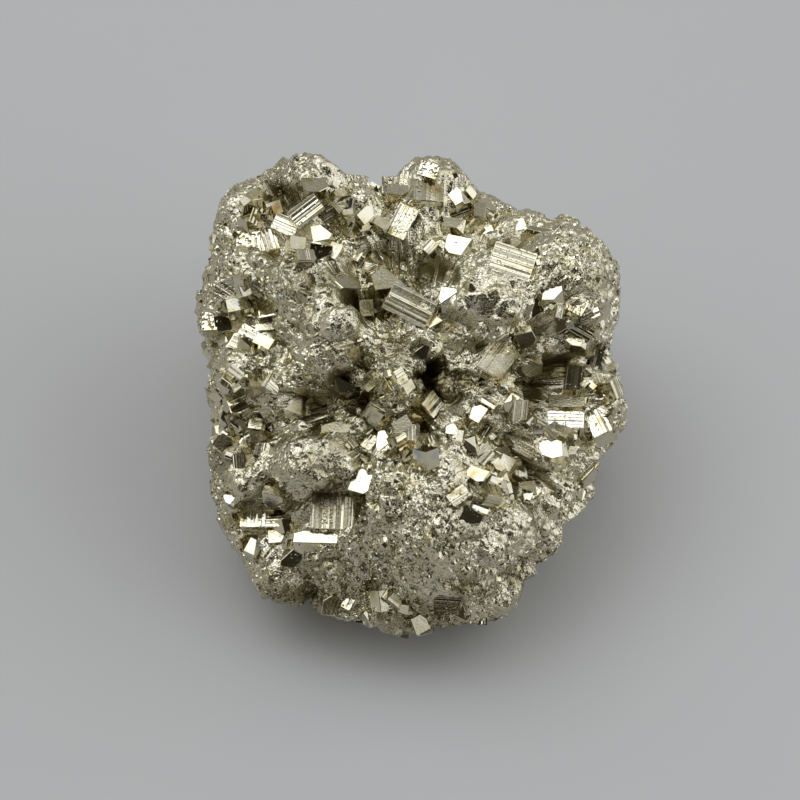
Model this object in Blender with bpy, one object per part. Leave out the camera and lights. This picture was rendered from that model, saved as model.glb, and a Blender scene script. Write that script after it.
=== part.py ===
"""A rough lump of pyrite, 66 mm wide: one nodular mass of fine grains with cube crystals grown through it.

Metres, +Z up, the stone standing on z = 0 with +Y pointing away from its show side. The show side is laid out as
it is seen from a point in front of and above the stone. Places on it are millimetres to the right of the stone's
middle and up from it, and each is carried back along its line of sight to the surface.
"""

import math
import random

import bmesh
import bpy
import numpy as np
from mathutils import Matrix, Vector

MM = 0.001

# Where the show side is laid out from: the height of the line of sight above the horizon, and the eye as
# (right, up, towards) from the stone's middle.
SIGHT_ELEVATION = math.radians(55)
EYE_MM = (-1.8, -1.2, 290.0)

# The stone's middle stands this far from the origin, which is the middle of its footprint's box.
MIDDLE_MM = (0.04, -2.29, 23.0)

# How far the mass reaches from its middle along the line of sight: towards the viewer, and away, where the upper
# part reaches further back than the lower one, so that the stone stands well.
FRONT_MM = 21.5
BACK_MM = 29.0
BACK_SLOPE_MM = 11.0
# 2 would make the section an ellipse, and a higher number makes it squarer.
SQUARENESS = 2.3
# The core lies this far inside the outline, and the lumps on it reach the outline.
CORE_INSET_MM = 2.0
# The core's underside hangs this far above the surface that the stone rests on.
UNDERSIDE_MM = 1.2
UNDERSIDE_SHARPNESS = 14

# The outline seen from the show side, anticlockwise from the right: (right, up).
OUTLINE_MM = (
    (33.0, -0.5), (31.5, 3.5), (30.0, 6.5), (31.5, 12.5), (31.5, 19.5), (29.2, 24.7), (24.8, 26.8),
    (16.2, 27.6), (10.3, 30.4), (6.0, 35.6), (0.5, 35.7), (-2.5, 32.8), (-6.2, 32.8), (-10.0, 33.2),
    (-13.7, 36.0), (-18.5, 36.7), (-25.0, 34.0), (-29.0, 30.0), (-30.3, 24.7), (-33.0, 20.1),
    (-33.0, 13.5), (-31.5, 5.0), (-30.9, -4.4), (-31.2, -11.0), (-29.5, -19.3), (-25.8, -25.3),
    (-23.0, -31.0), (-17.0, -32.7), (-8.9, -34.8), (-2.0, -37.3), (6.7, -37.8), (15.7, -33.9),
    (17.0, -28.5), (22.9, -26.0), (22.8, -20.3), (28.0, -16.1), (28.4, -10.3), (32.4, -6.2),
)

# The rounded lumps of the show side: (right, up, radius, rise above the core).
LUMPS_MM = (
    (-15.5, 33.0, 6.0, 4.0), (-25.5, 28.5, 6.5, 3.6), (-10.0, 28.5, 6.5, 2.8), (3.0, 32.5, 6.0, 4.2),
    (10.5, 29.0, 5.5, 3.0), (17.0, 26.0, 5.5, 3.0), (25.5, 19.0, 9.5, 5.2), (27.0, 11.0, 6.0, 3.6),
    (12.5, 15.0, 8.0, 5.0), (20.5, 8.0, 5.5, 2.8), (-17.5, 19.0, 7.5, 4.4), (-13.0, 11.5, 7.5, 5.0),
    (-11.0, 4.5, 6.5, 4.2), (-26.5, 19.5, 6.0, 3.2), (-30.0, 13.5, 5.0, 3.0), (-25.5, 4.5, 8.0, 4.0),
    (-20.5, 0.0, 6.0, 3.6), (-2.0, 1.5, 5.5, 3.6), (6.5, 1.0, 4.5, 3.0), (-16.0, -12.0, 7.5, 4.6),
    (-26.0, -14.0, 6.5, 3.6), (-25.5, -23.0, 7.0, 3.4), (-21.0, -29.0, 6.5, 3.4), (4.5, -21.5, 13.0, 5.6),
    (-2.0, -18.0, 8.0, 4.4), (5.0, -12.0, 7.0, 4.0), (13.5, -22.0, 8.0, 4.4), (20.5, -19.5, 7.0, 4.2),
    (21.5, -9.0, 5.5, 2.6), (29.0, -1.5, 5.5, 3.4), (26.5, -9.5, 5.0, 3.0), (-2.0, -34.0, 6.0, 3.4),
    (9.5, -31.5, 6.0, 3.4), (-11.0, -32.0, 6.0, 3.4), (15.5, -30.5, 4.0, 2.8),
)

# The hollows between the lumps: (right, up, radius, depth). The wide ones are the valleys that crystals line, and
# the narrow ones are pits in them.
HOLLOWS_MM = (
    (-20.0, 25.0, 5.5, 2.0), (-5.0, 23.0, 6.0, 2.6), (-4.5, 12.0, 5.5, 3.2), (3.0, 20.0, 5.0, 2.6),
    (1.0, -5.0, 6.5, 3.0), (12.5, -7.0, 5.5, 3.0), (-16.5, -4.0, 5.5, 3.0), (22.5, 0.5, 7.5, 4.4),
    (23.5, 11.5, 4.5, 2.2), (-13.0, -18.5, 5.5, 2.6), (-22.0, -19.0, 5.0, 2.0), (17.5, 24.5, 4.0, 1.6),
    (9.0, 8.5, 5.0, 2.6), (-23.0, 11.5, 4.5, 1.8),
    (-21.0, 30.0, 2.4, 2.6), (-9.5, 16.5, 3.0, 1.6), (2.5, 1.5, 2.4, 3.6), (-11.5, -1.5, 2.6, 2.0),
    (21.5, 2.5, 3.6, 2.0), (17.5, -9.5, 2.4, 3.4), (-13.0, -15.0, 3.0, 2.4), (-24.5, -17.0, 2.0, 1.8),
    (10.5, -15.0, 2.0, 2.0), (-6.0, -26.5, 2.2, 1.6), (16.0, -27.5, 2.4, 2.2),
)

# The crystals of the show side. Each row is one cube: right, up, the two sides of the face that shows, the turn of
# its first side from level, and how far that face leans to the right of and above the line of sight, in degrees.
CRYSTALS = (
    (-14.8, 31.8, 3.8, 2.8, 10, 5, 38), (-16.2, 27.8, 5.0, 3.2, 38, -5, 16), (-19.4, 25.7, 4.0, 2.6, -25, -14, 14),
    (-12.6, 27.6, 2.8, 2.8, 30, 12, -4), (-22.3, 23.4, 4.0, 3.2, 105, -4, 24), (-25.1, 23.4, 3.4, 2.6, 0, -7, 20),
    (-17.5, 22.9, 2.4, 2.4, 80, 20, 30), (-13.8, 24.5, 3.0, 2.4, 10, -8, 18), (-14.0, 21.5, 3.2, 2.2, -10, 0, -6),
    (-11.9, 21.7, 2.6, 1.8, 70, -2, 28), (-10.0, 17.0, 3.8, 2.8, 10, 15, 40), (-3.4, 17.5, 5.2, 3.8, 15, 4, 36),
    (-1.5, 26.2, 5.0, 3.2, 65, -8, 17), (-0.3, 13.4, 7.0, 5.6, -28, -3, 10), (-2.0, 31.1, 3.6, 2.2, 0, 0, 40),
    (-26.5, 13.7, 3.8, 2.4, 15, -10, 36), (-22.0, 12.5, 3.0, 1.8, 10, -8, 22), (-22.5, 10.2, 3.0, 1.6, 5, -4, 27),
    (-31.0, 10.9, 2.3, 2.8, 0, -15, 20), (-29.0, 10.6, 2.4, 2.4, 10, -5, -2), (-25.0, 9.0, 3.2, 2.2, -30, -6, 23),
    (2.6, 34.1, 2.8, 2.2, -20, -7, 21), (2.6, 30.9, 4.2, 4.6, 85, 8, 36), (6.9, 29.7, 2.6, 2.8, 45, -9, 18),
    (7.3, 27.6, 3.2, 2.0, 20, 5, -8), (6.2, 26.0, 3.8, 1.8, -15, 0, 38), (11.5, 25.2, 3.8, 2.0, 15, -8, 24),
    (17.0, 25.7, 2.4, 2.0, 5, -6, 20), (15.7, 23.1, 3.0, 2.4, 50, -8, 38), (7.1, 22.5, 3.8, 2.8, -15, -7, 19),
    (18.2, 24.1, 2.4, 2.4, 40, 10, 42), (5.5, 14.2, 3.6, 2.6, 80, -10, 18), (14.6, 19.6, 8.0, 6.5, -20, 6, 24),
    (3.2, 11.2, 2.6, 2.0, 30, -5, 22), (21.2, 14.9, 3.8, 2.2, 5, -8, 20), (19.4, 12.8, 3.2, 2.0, 75, 0, -2),
    (23.5, 11.4, 2.6, 2.2, 20, 10, 35), (25.9, 9.5, 4.0, 2.4, -30, 6, -6), (25.2, 8.0, 3.2, 1.9, -15, -4, 27),
    (13.2, 5.0, 5.5, 4.2, 60, 5, 33), (28.5, 5.7, 3.5, 1.8, 75, 5, -5), (1.7, 6.2, 2.8, 2.2, 65, 0, -4),
    (-27.0, -0.7, 3.0, 2.2, 25, -9, 20), (-26.5, -2.5, 2.8, 1.7, 20, -8, 18), (-23.7, -4.5, 2.5, 2.5, 85, -4, 25),
    (-22.9, -6.6, 3.8, 2.0, 10, 0, 36), (-22.5, -8.7, 2.2, 3.2, 80, -3, 8), (-26.5, -10.6, 2.4, 2.0, 95, -8, 10),
    (-11.7, -5.3, 4.2, 2.0, 0, 2, 33), (-10.6, 0.7, 3.4, 2.0, -30, 4, -5), (-17.6, -1.8, 3.0, 3.0, 70, 25, 5),
    (-4.2, -7.5, 3.2, 2.2, 85, -7, 19), (-6.5, -7.5, 2.6, 1.8, 60, -3, 25), (-7.7, -13.7, 3.6, 3.0, 75, -8, 20),
    (-7.0, -10.1, 2.2, 1.9, 85, 6, 35), (-12.2, -18.2, 5.6, 6.4, 88, -4, 12), (-14.8, -22.8, 6.6, 2.8, -5, -7, 20),
    (-24.4, -18.6, 4.4, 3.8, 92, -8, 28), (-20.6, -19.8, 4.2, 1.8, 3, -4, 25), (-24.4, -22.3, 2.6, 2.0, 80, -8, 22),
    (-20.6, -22.0, 2.8, 2.4, 5, -6, 25), (-27.9, -16.2, 2.0, 1.8, -30, -12, 18), (-21.0, -14.8, 3.2, 2.6, -20, -5, 38),
    (-18.3, -25.4, 3.0, 3.2, 80, -3, -15), (-0.2, -6.2, 2.6, 2.8, 90, 4, -10), (9.9, -3.1, 2.6, 2.4, 60, -5, 24),
    (10.9, -5.8, 3.0, 2.6, 60, -7, 20), (12.0, -1.2, 2.8, 2.2, -40, 3, 30), (6.6, -5.7, 2.5, 1.6, -10, -6, 20),
    (17.7, 2.8, 2.4, 1.8, -55, -4, 10), (23.8, -1.4, 5.4, 2.2, -5, 0, 36), (23.6, -4.2, 5.4, 2.6, -5, -5, 19),
    (28.5, -4.5, 4.6, 3.0, -65, -8, 22), (21.7, -8.7, 4.0, 2.9, 10, -7, 20), (24.3, -9.4, 2.6, 1.8, 75, 20, 25),
    (26.4, -12.0, 3.0, 2.4, 50, -8, 25), (24.8, 1.4, 5.5, 3.0, 85, 6, -12), (18.4, 4.8, 2.8, 2.0, 20, 5, 34),
    (10.2, -12.2, 2.8, 2.8, 60, -5, 23), (7.2, -15.8, 3.2, 2.4, 40, -3, 30), (10.6, -17.6, 2.8, 1.6, -25, -6, 20),
    (9.0, -19.3, 3.2, 2.4, -30, 2, -3), (13.7, -9.5, 2.8, 2.2, 20, 5, 35), (30.0, 3.8, 3.0, 2.2, -20, 5, 35),
    (5.5, -32.6, 4.4, 2.8, -3, 0, -20), (14.3, -31.8, 2.8, 2.2, 75, -6, 25), (-9.5, -31.8, 3.2, 1.6, 65, -5, 20),
    (9.8, -31.8, 2.8, 2.2, 40, 4, 34), (16.5, -26.2, 2.6, 1.8, 85, -3, 15),
)
# A crystal's face stands this share of its shorter side out of the mass.
CRYSTAL_RISE = 0.3

# Between the grainy lumps the show side is packed with smaller crystals, in these ovals: right, up, half width,
# half height.
PACKED_PLACES_MM = (
    (-17, 26, 10, 7), (4, 27, 9, 7), (-4, 17, 7, 6), (22, 10, 8, 4), (-1, -4, 12, 7), (23, -1, 8, 8),
    (-25, -4, 5, 7), (-19, -19, 9, 6), (-25, 11, 5, 5), (2, -33, 16, 3), (13, -11, 6, 6),
)
PACKED_CRYSTALS = 48
PACKED_CRYSTAL_SIDE_MM = (1.8, 3.4)

# Everything below is scattered with no order to it. Small lumps cover the whole stone, and bigger ones and crystals
# cover the sides that face away. A side is told by its direction's cosine to the line of sight: 0 is the rim.
SEED = 7
SMALL_LUMPS = 260
SMALL_LUMP_RADIUS_MM = (2.2, 4.8)
SMALL_LUMP_RISE_MM = (-0.2, 1.0)
FAR_LUMPS = 64
FAR_LUMP_RADIUS_MM = (3.5, 6.5)
FAR_LUMP_RISE_MM = (1.6, 4.0)
FAR_LUMP_COSINE = -0.18
# How many crystals, from which cosine to which, and their sides.
SCATTERED_CRYSTALS = ((44, -0.3, 0.3, (1.8, 3.2)), (38, -1.0, -0.3, (2.8, 6.5)))
CRYSTAL_LEAN = 40
# Directions this steeply down are the resting side, which carries no crystals.
RESTING_SIDE_SLOPE = -0.72

# Lumps meet in creases that are rounded over this width.
CREASE_MM = 0.8
# Points spread over the mass. Each makes about two triangles, and the show side has them closer together.
MASS_POINTS = 1400
SHOW_SIDE_CROWDING = 0.2
# Each point stands this much at most above or below the smooth lumps, so that the grains' facets differ.
GRAIN_MM = 0.35

# A finish for the whole stone: pale brass-coloured metal.
PYRITE_COLOUR = (0.56, 0.52, 0.40, 1.0)
PYRITE_ROUGHNESS = 0.28


def sight_to_row():
    """The matrix from (right, up, towards the viewer) around the stone's middle, in millimetres, to the row frame."""
    rise, run = math.sin(SIGHT_ELEVATION), math.cos(SIGHT_ELEVATION)
    turn = Matrix(((1, 0, 0), (0, rise, -run), (0, run, rise))).to_4x4()
    return Matrix.Translation(Vector(MIDDLE_MM) * MM) @ Matrix.Scale(MM, 4) @ turn


def unit(rows):
    return rows / np.linalg.norm(rows, axis=-1, keepdims=True)


def any_direction(chance):
    return unit(np.array([[chance.gauss(0, 1) for _ in range(3)]]))


def upward_share(ways):
    """The row frame's Z of directions given as (right, up, towards)."""
    return ways[:, 1] * math.cos(SIGHT_ELEVATION) + ways[:, 2] * math.sin(SIGHT_ELEVATION)


def core_radius(ways):
    """How far the core reaches from the middle along each direction, in millimetres."""
    outline = np.array(OUTLINE_MM)
    angles = np.arctan2(outline[:, 1], outline[:, 0])
    reach = np.hypot(outline[:, 0], outline[:, 1]) - CORE_INSET_MM
    across = np.hypot(ways[:, 0], ways[:, 1])
    rim = np.interp(np.arctan2(ways[:, 1], ways[:, 0]), angles, reach, period=2 * math.pi)
    depth = np.where(ways[:, 2] > 0, FRONT_MM, BACK_MM + BACK_SLOPE_MM * ways[:, 1])
    full = ((across / rim) ** SQUARENESS + (np.abs(ways[:, 2]) / depth) ** SQUARENESS) ** (-1 / SQUARENESS)
    downward = np.maximum(-upward_share(ways), 1e-6)
    floor = (MIDDLE_MM[2] - UNDERSIDE_MM) / downward
    return (full**-UNDERSIDE_SHARPNESS + floor**-UNDERSIDE_SHARPNESS) ** (-1 / UNDERSIDE_SHARPNESS)


def blend_over(reach, other, width):
    """The larger of two reaches, with the crease between them rounded."""
    near = np.maximum(width - np.abs(reach - other), 0) / width
    return np.maximum(reach, other) + near**2 * width / 4


def raise_ball(reach, ways, centre, radius):
    """Lifts the reaches to a ball's far side where their directions meet it."""
    along = ways @ centre
    inside = along**2 - centre @ centre + radius**2
    met = (inside > 0) & (along > 0)
    far = along[met] + np.sqrt(inside[met])
    reach[met] = blend_over(reach[met], far, CREASE_MM)


def seen_at(right, up, reach_of):
    """The point of a surface on the line of sight through (right, up), or the nearest point to that line."""
    eye = np.array(EYE_MM)
    line = unit(np.array([right, up, 0]) - eye)
    steps = np.linspace(EYE_MM[2] - 50, EYE_MM[2] + 10, 601)
    points = eye + steps[:, None] * line
    beyond = np.linalg.norm(points, axis=1) - reach_of(unit(points))
    inside = np.flatnonzero(beyond < 0)
    return points[inside[0] if len(inside) else np.argmin(beyond)]


def lump_balls():
    """(centre, radius) of every lump: those of the show side, those of the far sides, then small ones all over."""
    lumps = []
    for right, up, radius, rise in LUMPS_MM:
        lumps.append((unit(seen_at(right, up, core_radius)[None]), radius, rise))
    chance = random.Random(SEED)
    while len(lumps) < len(LUMPS_MM) + FAR_LUMPS:
        way = any_direction(chance)
        if way[0, 2] < FAR_LUMP_COSINE:
            lumps.append((way, chance.uniform(*FAR_LUMP_RADIUS_MM), chance.uniform(*FAR_LUMP_RISE_MM)))
    for _ in range(SMALL_LUMPS):
        rise = CORE_INSET_MM * 0.6 + chance.uniform(*SMALL_LUMP_RISE_MM)
        lumps.append((any_direction(chance), chance.uniform(*SMALL_LUMP_RADIUS_MM), rise))
    return [(way[0] * (core_radius(way)[0] + rise - radius), radius) for way, radius, rise in lumps]


def mass_radius(ways, balls, hollows):
    """How far the whole mass reaches along each direction: core, lumps, then hollows."""
    reach = core_radius(ways)
    for centre, radius in balls:
        raise_ball(reach, ways, centre, radius)
    for centre, radius, depth in hollows:
        away = np.linalg.norm(ways * np.linalg.norm(centre) - centre, axis=1) / radius
        reach -= depth * np.clip(1 - away**2, 0, 1) ** 1.5
    return reach


def spread_directions(count, chance):
    """Directions spread over a sphere, closer together on the show side and each nudged a little, so that the facets
    between them are uneven."""
    golden = math.pi * (3 - math.sqrt(5))
    ways = []
    for i in range(count):
        height = 1 - 2 * (i + 0.5) / count
        ring = math.sqrt(1 - height * height)
        ways.append((ring * math.cos(golden * i), ring * math.sin(golden * i), height))
    nudge = 0.35 * math.sqrt(4 * math.pi / count)
    shift = np.array([[chance.uniform(-nudge, nudge) for _ in range(3)] for _ in ways])
    return unit(unit(np.array(ways) + shift) + np.array([0, 0, SHOW_SIDE_CROWDING]))


def mesh_object(name, mesh):
    obj = bpy.data.objects.new(name, mesh)
    bpy.context.scene.collection.objects.link(obj)
    return obj


def build_mass(reach_of, to_row):
    """The grainy mass as one closed skin over points spread all around it."""
    chance = random.Random(SEED + 1)
    ways = spread_directions(MASS_POINTS, chance)
    reach = reach_of(ways) + np.array([chance.uniform(-GRAIN_MM, GRAIN_MM) for _ in ways])
    bm = bmesh.new()
    for way in ways:
        bm.verts.new(way)
    bmesh.ops.convex_hull(bm, input=bm.verts)
    bm.verts.ensure_lookup_table()
    for i, vert in enumerate(bm.verts):
        vert.co = to_row @ Vector(ways[i] * reach[i])
    bmesh.ops.recalc_face_normals(bm, faces=bm.faces)
    mesh = bpy.data.meshes.new("pyrite_stone")
    bm.to_mesh(mesh)
    bm.free()
    return mesh_object("pyrite_stone", mesh)


def surface_normal(point, reach_of):
    """The mass's outward direction at a point, from its slope a little to either side."""
    way = unit(point[None])[0]
    side = unit(np.cross(way, [0.0, 1.0, 0.31]))
    other = np.cross(way, side)
    step = 0.03
    around = unit(np.array([way + side * step, way - side * step, way + other * step, way - other * step]))
    ends = around * reach_of(around)[:, None]
    normal = np.cross(ends[0] - ends[1], ends[2] - ends[3])
    return unit(normal * np.sign(normal @ way))


def crystal_cube(name, sides, face_middle, outward, first_side, corner_cut):
    """A cube of the given sides whose outer face has its middle at face_middle, with one corner cut off flat."""
    along, across = sides
    deep = max(along, across)
    outward = Vector(outward).normalized()
    across_way = outward.cross(Vector(first_side)).normalized()
    along_way = across_way.cross(outward).normalized()
    middle = Vector(face_middle) - outward * deep / 2
    place = Matrix.Translation(middle) @ Matrix((along_way, across_way, outward)).transposed().to_4x4()
    bm = bmesh.new()
    bmesh.ops.create_cube(bm, size=1, matrix=place @ Matrix.Diagonal((along, across, deep, 1)))
    if corner_cut:
        corner = Vector((along * corner_cut[0], across * corner_cut[1], deep)) / 2
        normal = (place.to_3x3() @ Vector((*corner_cut, 1))).normalized()
        point = place @ corner - normal * min(along, across) * 0.22
        parts = bm.verts[:] + bm.edges[:] + bm.faces[:]
        cut = bmesh.ops.bisect_plane(bm, geom=parts, plane_co=point, plane_no=normal, clear_outer=True)
        rim = [e for e in cut["geom_cut"] if isinstance(e, bmesh.types.BMEdge)]
        bmesh.ops.contextual_create(bm, geom=rim)
    bmesh.ops.recalc_face_normals(bm, faces=bm.faces)
    mesh = bpy.data.meshes.new(name)
    bm.to_mesh(mesh)
    bm.free()
    obj = mesh_object(name, mesh)
    obj.hide_render = True
    obj.display_type = "WIRE"
    return obj


def show_side_crystals(reach_of, to_row):
    cubes = []
    for number, (right, up, along, across, turn, lean_right, lean_up) in enumerate(CRYSTALS):
        point = seen_at(right, up, reach_of)
        sight = unit(np.array(EYE_MM) - point)
        lean = (math.tan(math.radians(lean_right)), math.tan(math.radians(lean_up)), 0)
        outward = unit(sight + np.array(lean))
        first = (math.cos(math.radians(turn)), math.sin(math.radians(turn)), 0)
        face = Vector(point + outward * min(along, across) * CRYSTAL_RISE)
        cut = ((-1, 1), (1, 1), (1, -1), (-1, -1))[number % 4] if number % 2 else None
        cube = crystal_cube(f"show_crystal_{number}", (along, across), face, outward, first, cut)
        cube.data.transform(to_row)
        cubes.append(cube)
    return cubes


def loose_crystal(name, chance, point, facing, sides_mm, corner_cut_share, to_row):
    """A crystal at a point of the mass, facing roughly the given way."""
    lean = math.tan(math.radians(CRYSTAL_LEAN))
    outward = unit(facing + np.array([chance.uniform(-lean, lean) for _ in range(3)]))
    first = [chance.gauss(0, 1) for _ in range(3)]
    along = chance.uniform(*sides_mm)
    across = along * chance.uniform(0.6, 1.0)
    face = Vector(point + outward * across * chance.uniform(0.1, 0.4))
    cut = (chance.choice((-1, 1)), chance.choice((-1, 1))) if chance.random() < corner_cut_share else None
    cube = crystal_cube(name, (along, across), face, outward, first, cut)
    cube.data.transform(to_row)
    return cube


def packed_crystals(reach_of, to_row):
    """Small crystals between the named ones of the show side, kept off their faces."""
    chance = random.Random(SEED + 3)
    cubes = []
    while len(cubes) < PACKED_CRYSTALS:
        right, up, half_width, half_height = chance.choice(PACKED_PLACES_MM)
        distance, angle = math.sqrt(chance.random()), chance.uniform(0, 2 * math.pi)
        right += half_width * distance * math.cos(angle)
        up += half_height * distance * math.sin(angle)
        if any(math.dist((right, up), row[:2]) < 0.5 * max(row[2:4]) + 0.8 for row in CRYSTALS):
            continue
        point = seen_at(right, up, reach_of)
        facing = unit(surface_normal(point, reach_of) + unit(np.array(EYE_MM) - point))
        name = f"packed_crystal_{len(cubes)}"
        cubes.append(loose_crystal(name, chance, point, facing, PACKED_CRYSTAL_SIDE_MM, 0.2, to_row))
    return cubes


def scattered_crystals(reach_of, to_row):
    chance = random.Random(SEED + 2)
    cubes = []
    for count, lowest, highest, sides_mm in SCATTERED_CRYSTALS:
        wanted = len(cubes) + count
        while len(cubes) < wanted:
            way = any_direction(chance)
            if not lowest < way[0, 2] < highest or upward_share(way)[0] < RESTING_SIDE_SLOPE:
                continue
            point = way[0] * reach_of(way)[0]
            facing = surface_normal(point, reach_of)
            name = f"scattered_crystal_{len(cubes)}"
            cubes.append(loose_crystal(name, chance, point, facing, sides_mm, 0.4, to_row))
    return cubes


def floor_cutter():
    """A block below z = 0, which leaves the flats that the stone rests on."""
    size = 0.2
    bm = bmesh.new()
    bmesh.ops.create_cube(bm, size=size, matrix=Matrix.Translation((0, 0, -size / 2)))
    mesh = bpy.data.meshes.new("floor_cutter")
    bm.to_mesh(mesh)
    bm.free()
    obj = mesh_object("floor_cutter", mesh)
    obj.hide_render = True
    obj.display_type = "WIRE"
    return obj


def grow_together(stone, cubes, cutter):
    """Joins the crystals to the mass and cuts the resting flats."""
    collection = bpy.data.collections.new("crystals")
    bpy.context.scene.collection.children.link(collection)
    for cube in cubes:
        bpy.context.scene.collection.objects.unlink(cube)
        collection.objects.link(cube)
    join = stone.modifiers.new("grow_crystals", "BOOLEAN")
    join.operation = "UNION"
    join.solver = "EXACT"
    join.operand_type = "COLLECTION"
    join.collection = collection
    rest = stone.modifiers.new("resting_flats", "BOOLEAN")
    rest.operation = "DIFFERENCE"
    rest.solver = "EXACT"
    rest.object = cutter


def skins_of(bm):
    """The faces of each separate skin in a mesh."""
    left = set(bm.faces)
    skins = []
    while left:
        todo = [left.pop()]
        skin = []
        while todo:
            face = todo.pop()
            skin.append(face)
            near = {f for edge in face.edges for f in edge.link_faces} & left
            left -= near
            todo.extend(near)
        skins.append(skin)
    return skins


def keep_outer_skin(stone):
    """Applies the modifiers and drops the closed gaps left between crystals inside the stone."""
    graph = bpy.context.evaluated_depsgraph_get()
    whole = bpy.data.meshes.new_from_object(stone.evaluated_get(graph))
    stone.modifiers.clear()
    bm = bmesh.new()
    bm.from_mesh(whole)
    skins = skins_of(bm)
    outer = max(skins, key=len)
    inner = [face for skin in skins if skin is not outer for face in skin]
    bmesh.ops.delete(bm, geom=inner, context="FACES")
    bmesh.ops.triangulate(bm, faces=bm.faces)
    bmesh.ops.dissolve_degenerate(bm, dist=2e-6, edges=bm.edges)
    bmesh.ops.triangulate(bm, faces=bm.faces)
    bm.to_mesh(whole)
    bm.free()
    whole.name = "pyrite_stone"
    stone.data = whole
    print(len(skins) - 1, "closed gaps dropped,", len(whole.polygons), "triangles")


def finish_pyrite(stone):
    material = bpy.data.materials.new("pyrite")
    material.use_nodes = True
    shader = material.node_tree.nodes["Principled BSDF"]
    shader.inputs["Base Color"].default_value = PYRITE_COLOUR
    shader.inputs["Metallic"].default_value = 1.0
    shader.inputs["Roughness"].default_value = PYRITE_ROUGHNESS
    stone.data.materials.clear()
    stone.data.materials.append(material)


def main():
    for obj in list(bpy.data.objects):
        bpy.data.objects.remove(obj)
    to_row = sight_to_row()
    balls = lump_balls()
    bare = lambda ways: mass_radius(ways, balls, ())
    hollows = [(seen_at(right, up, bare), radius, depth) for right, up, radius, depth in HOLLOWS_MM]
    reach_of = lambda ways: mass_radius(ways, balls, hollows)
    stone = build_mass(reach_of, to_row)
    growers = (show_side_crystals, packed_crystals, scattered_crystals)
    cubes = [cube for grow in growers for cube in grow(reach_of, to_row)]
    grow_together(stone, cubes, floor_cutter())
    keep_outer_skin(stone)
    finish_pyrite(stone)


main()
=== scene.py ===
# %% [markdown]
# # A rough lump of pyrite
#
# The real thing is one piece: a nodular mass of fused pyrite grains, each a fraction of a millimetre, with
# cube crystals of 1 to 8 mm grown through it wherever there was room. Everything on it is the same bare,
# brassy mineral, so all that the eye gets is shape and reflection: thousands of tiny facets that flash or
# go dark, flat crystal faces that mirror the lights, and deep gaps where light turns olive after several
# bounces.
#
# The lesson builds it in that order. First a rounded mass, then the striated crystals, then the small ones
# that are packed between them, and last a crust of grains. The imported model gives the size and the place.

# %% Load the frame
import math
import random

import bmesh
import bpy
import numpy as np
from mathutils import Matrix, Vector, kdtree, noise


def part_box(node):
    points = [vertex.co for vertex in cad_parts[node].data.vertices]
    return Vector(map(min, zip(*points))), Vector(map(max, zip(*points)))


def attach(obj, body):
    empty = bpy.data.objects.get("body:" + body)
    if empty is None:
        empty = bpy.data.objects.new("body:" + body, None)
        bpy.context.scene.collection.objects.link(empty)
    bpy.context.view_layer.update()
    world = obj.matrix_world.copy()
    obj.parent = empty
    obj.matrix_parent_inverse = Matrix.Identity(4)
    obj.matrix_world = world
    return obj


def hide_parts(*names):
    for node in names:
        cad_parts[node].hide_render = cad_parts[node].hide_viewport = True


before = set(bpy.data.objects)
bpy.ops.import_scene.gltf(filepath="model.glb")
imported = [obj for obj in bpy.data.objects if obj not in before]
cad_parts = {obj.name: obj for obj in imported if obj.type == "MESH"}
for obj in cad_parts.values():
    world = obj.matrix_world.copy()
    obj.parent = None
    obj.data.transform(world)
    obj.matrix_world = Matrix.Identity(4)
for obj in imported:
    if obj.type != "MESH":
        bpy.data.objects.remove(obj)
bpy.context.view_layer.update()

STONE = "pyrite_stone"
LOW, HIGH = (np.array(corner) * 1000 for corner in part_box(STONE))
print("the stone's box in mm:", LOW.round(1), HIGH.round(1))

# %% [markdown]
# ## Looking at the show side
#
# The stone has one good side, and every lump and crystal on it is known by where it appears from one place:
# in front, and well above. So the shapes are laid out in millimetres as seen from there: right, up, and
# towards the viewer, from the stone's middle. One matrix turns that into the model's own frame, and MM into
# Blender's metres. The camera stands at the same place, so a crystal that is moved 1 mm to the right in a
# table moves 1 mm to the right in the picture.

# %% Where the show side is seen from
SIGHT_ELEVATION = math.radians(55)
EYE_MM = np.array((-1.8, -1.2, 290))
MIDDLE_MM = np.array((0.04, -2.29, 23))
MM = 0.001

RISE, RUN = math.sin(SIGHT_ELEVATION), math.cos(SIGHT_ELEVATION)
SIGHT_TURN = np.array(((1, 0, 0), (0, RISE, -RUN), (0, RUN, RISE)))


def to_model(points_mm):
    """Places given as (right, up, towards) in mm, in the model's frame, in mm."""
    return points_mm @ SIGHT_TURN.T + MIDDLE_MM


def unit(rows):
    return rows / np.linalg.norm(rows, axis=-1, keepdims=True)


def upward_share(ways):
    """How much of each direction points up in the model's frame."""
    return ways[:, 1] * RUN + ways[:, 2] * RISE


print("the eye is", EYE_MM[2], "mm from the middle, at", to_model(EYE_MM).round(), "mm")

# %% [markdown]
# ## The core
#
# The mass could be sculpted or built from metaballs, but a stone has no holes through it, so one number per
# direction is enough: how far the surface lies from the middle. That is quick to work out for 100,000
# directions, and any shape that can be asked "how far do you reach this way?" can be blended into it. The
# core is the plain part of the shape: the outline that the show side has, rounded off towards the viewer
# and away.

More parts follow.
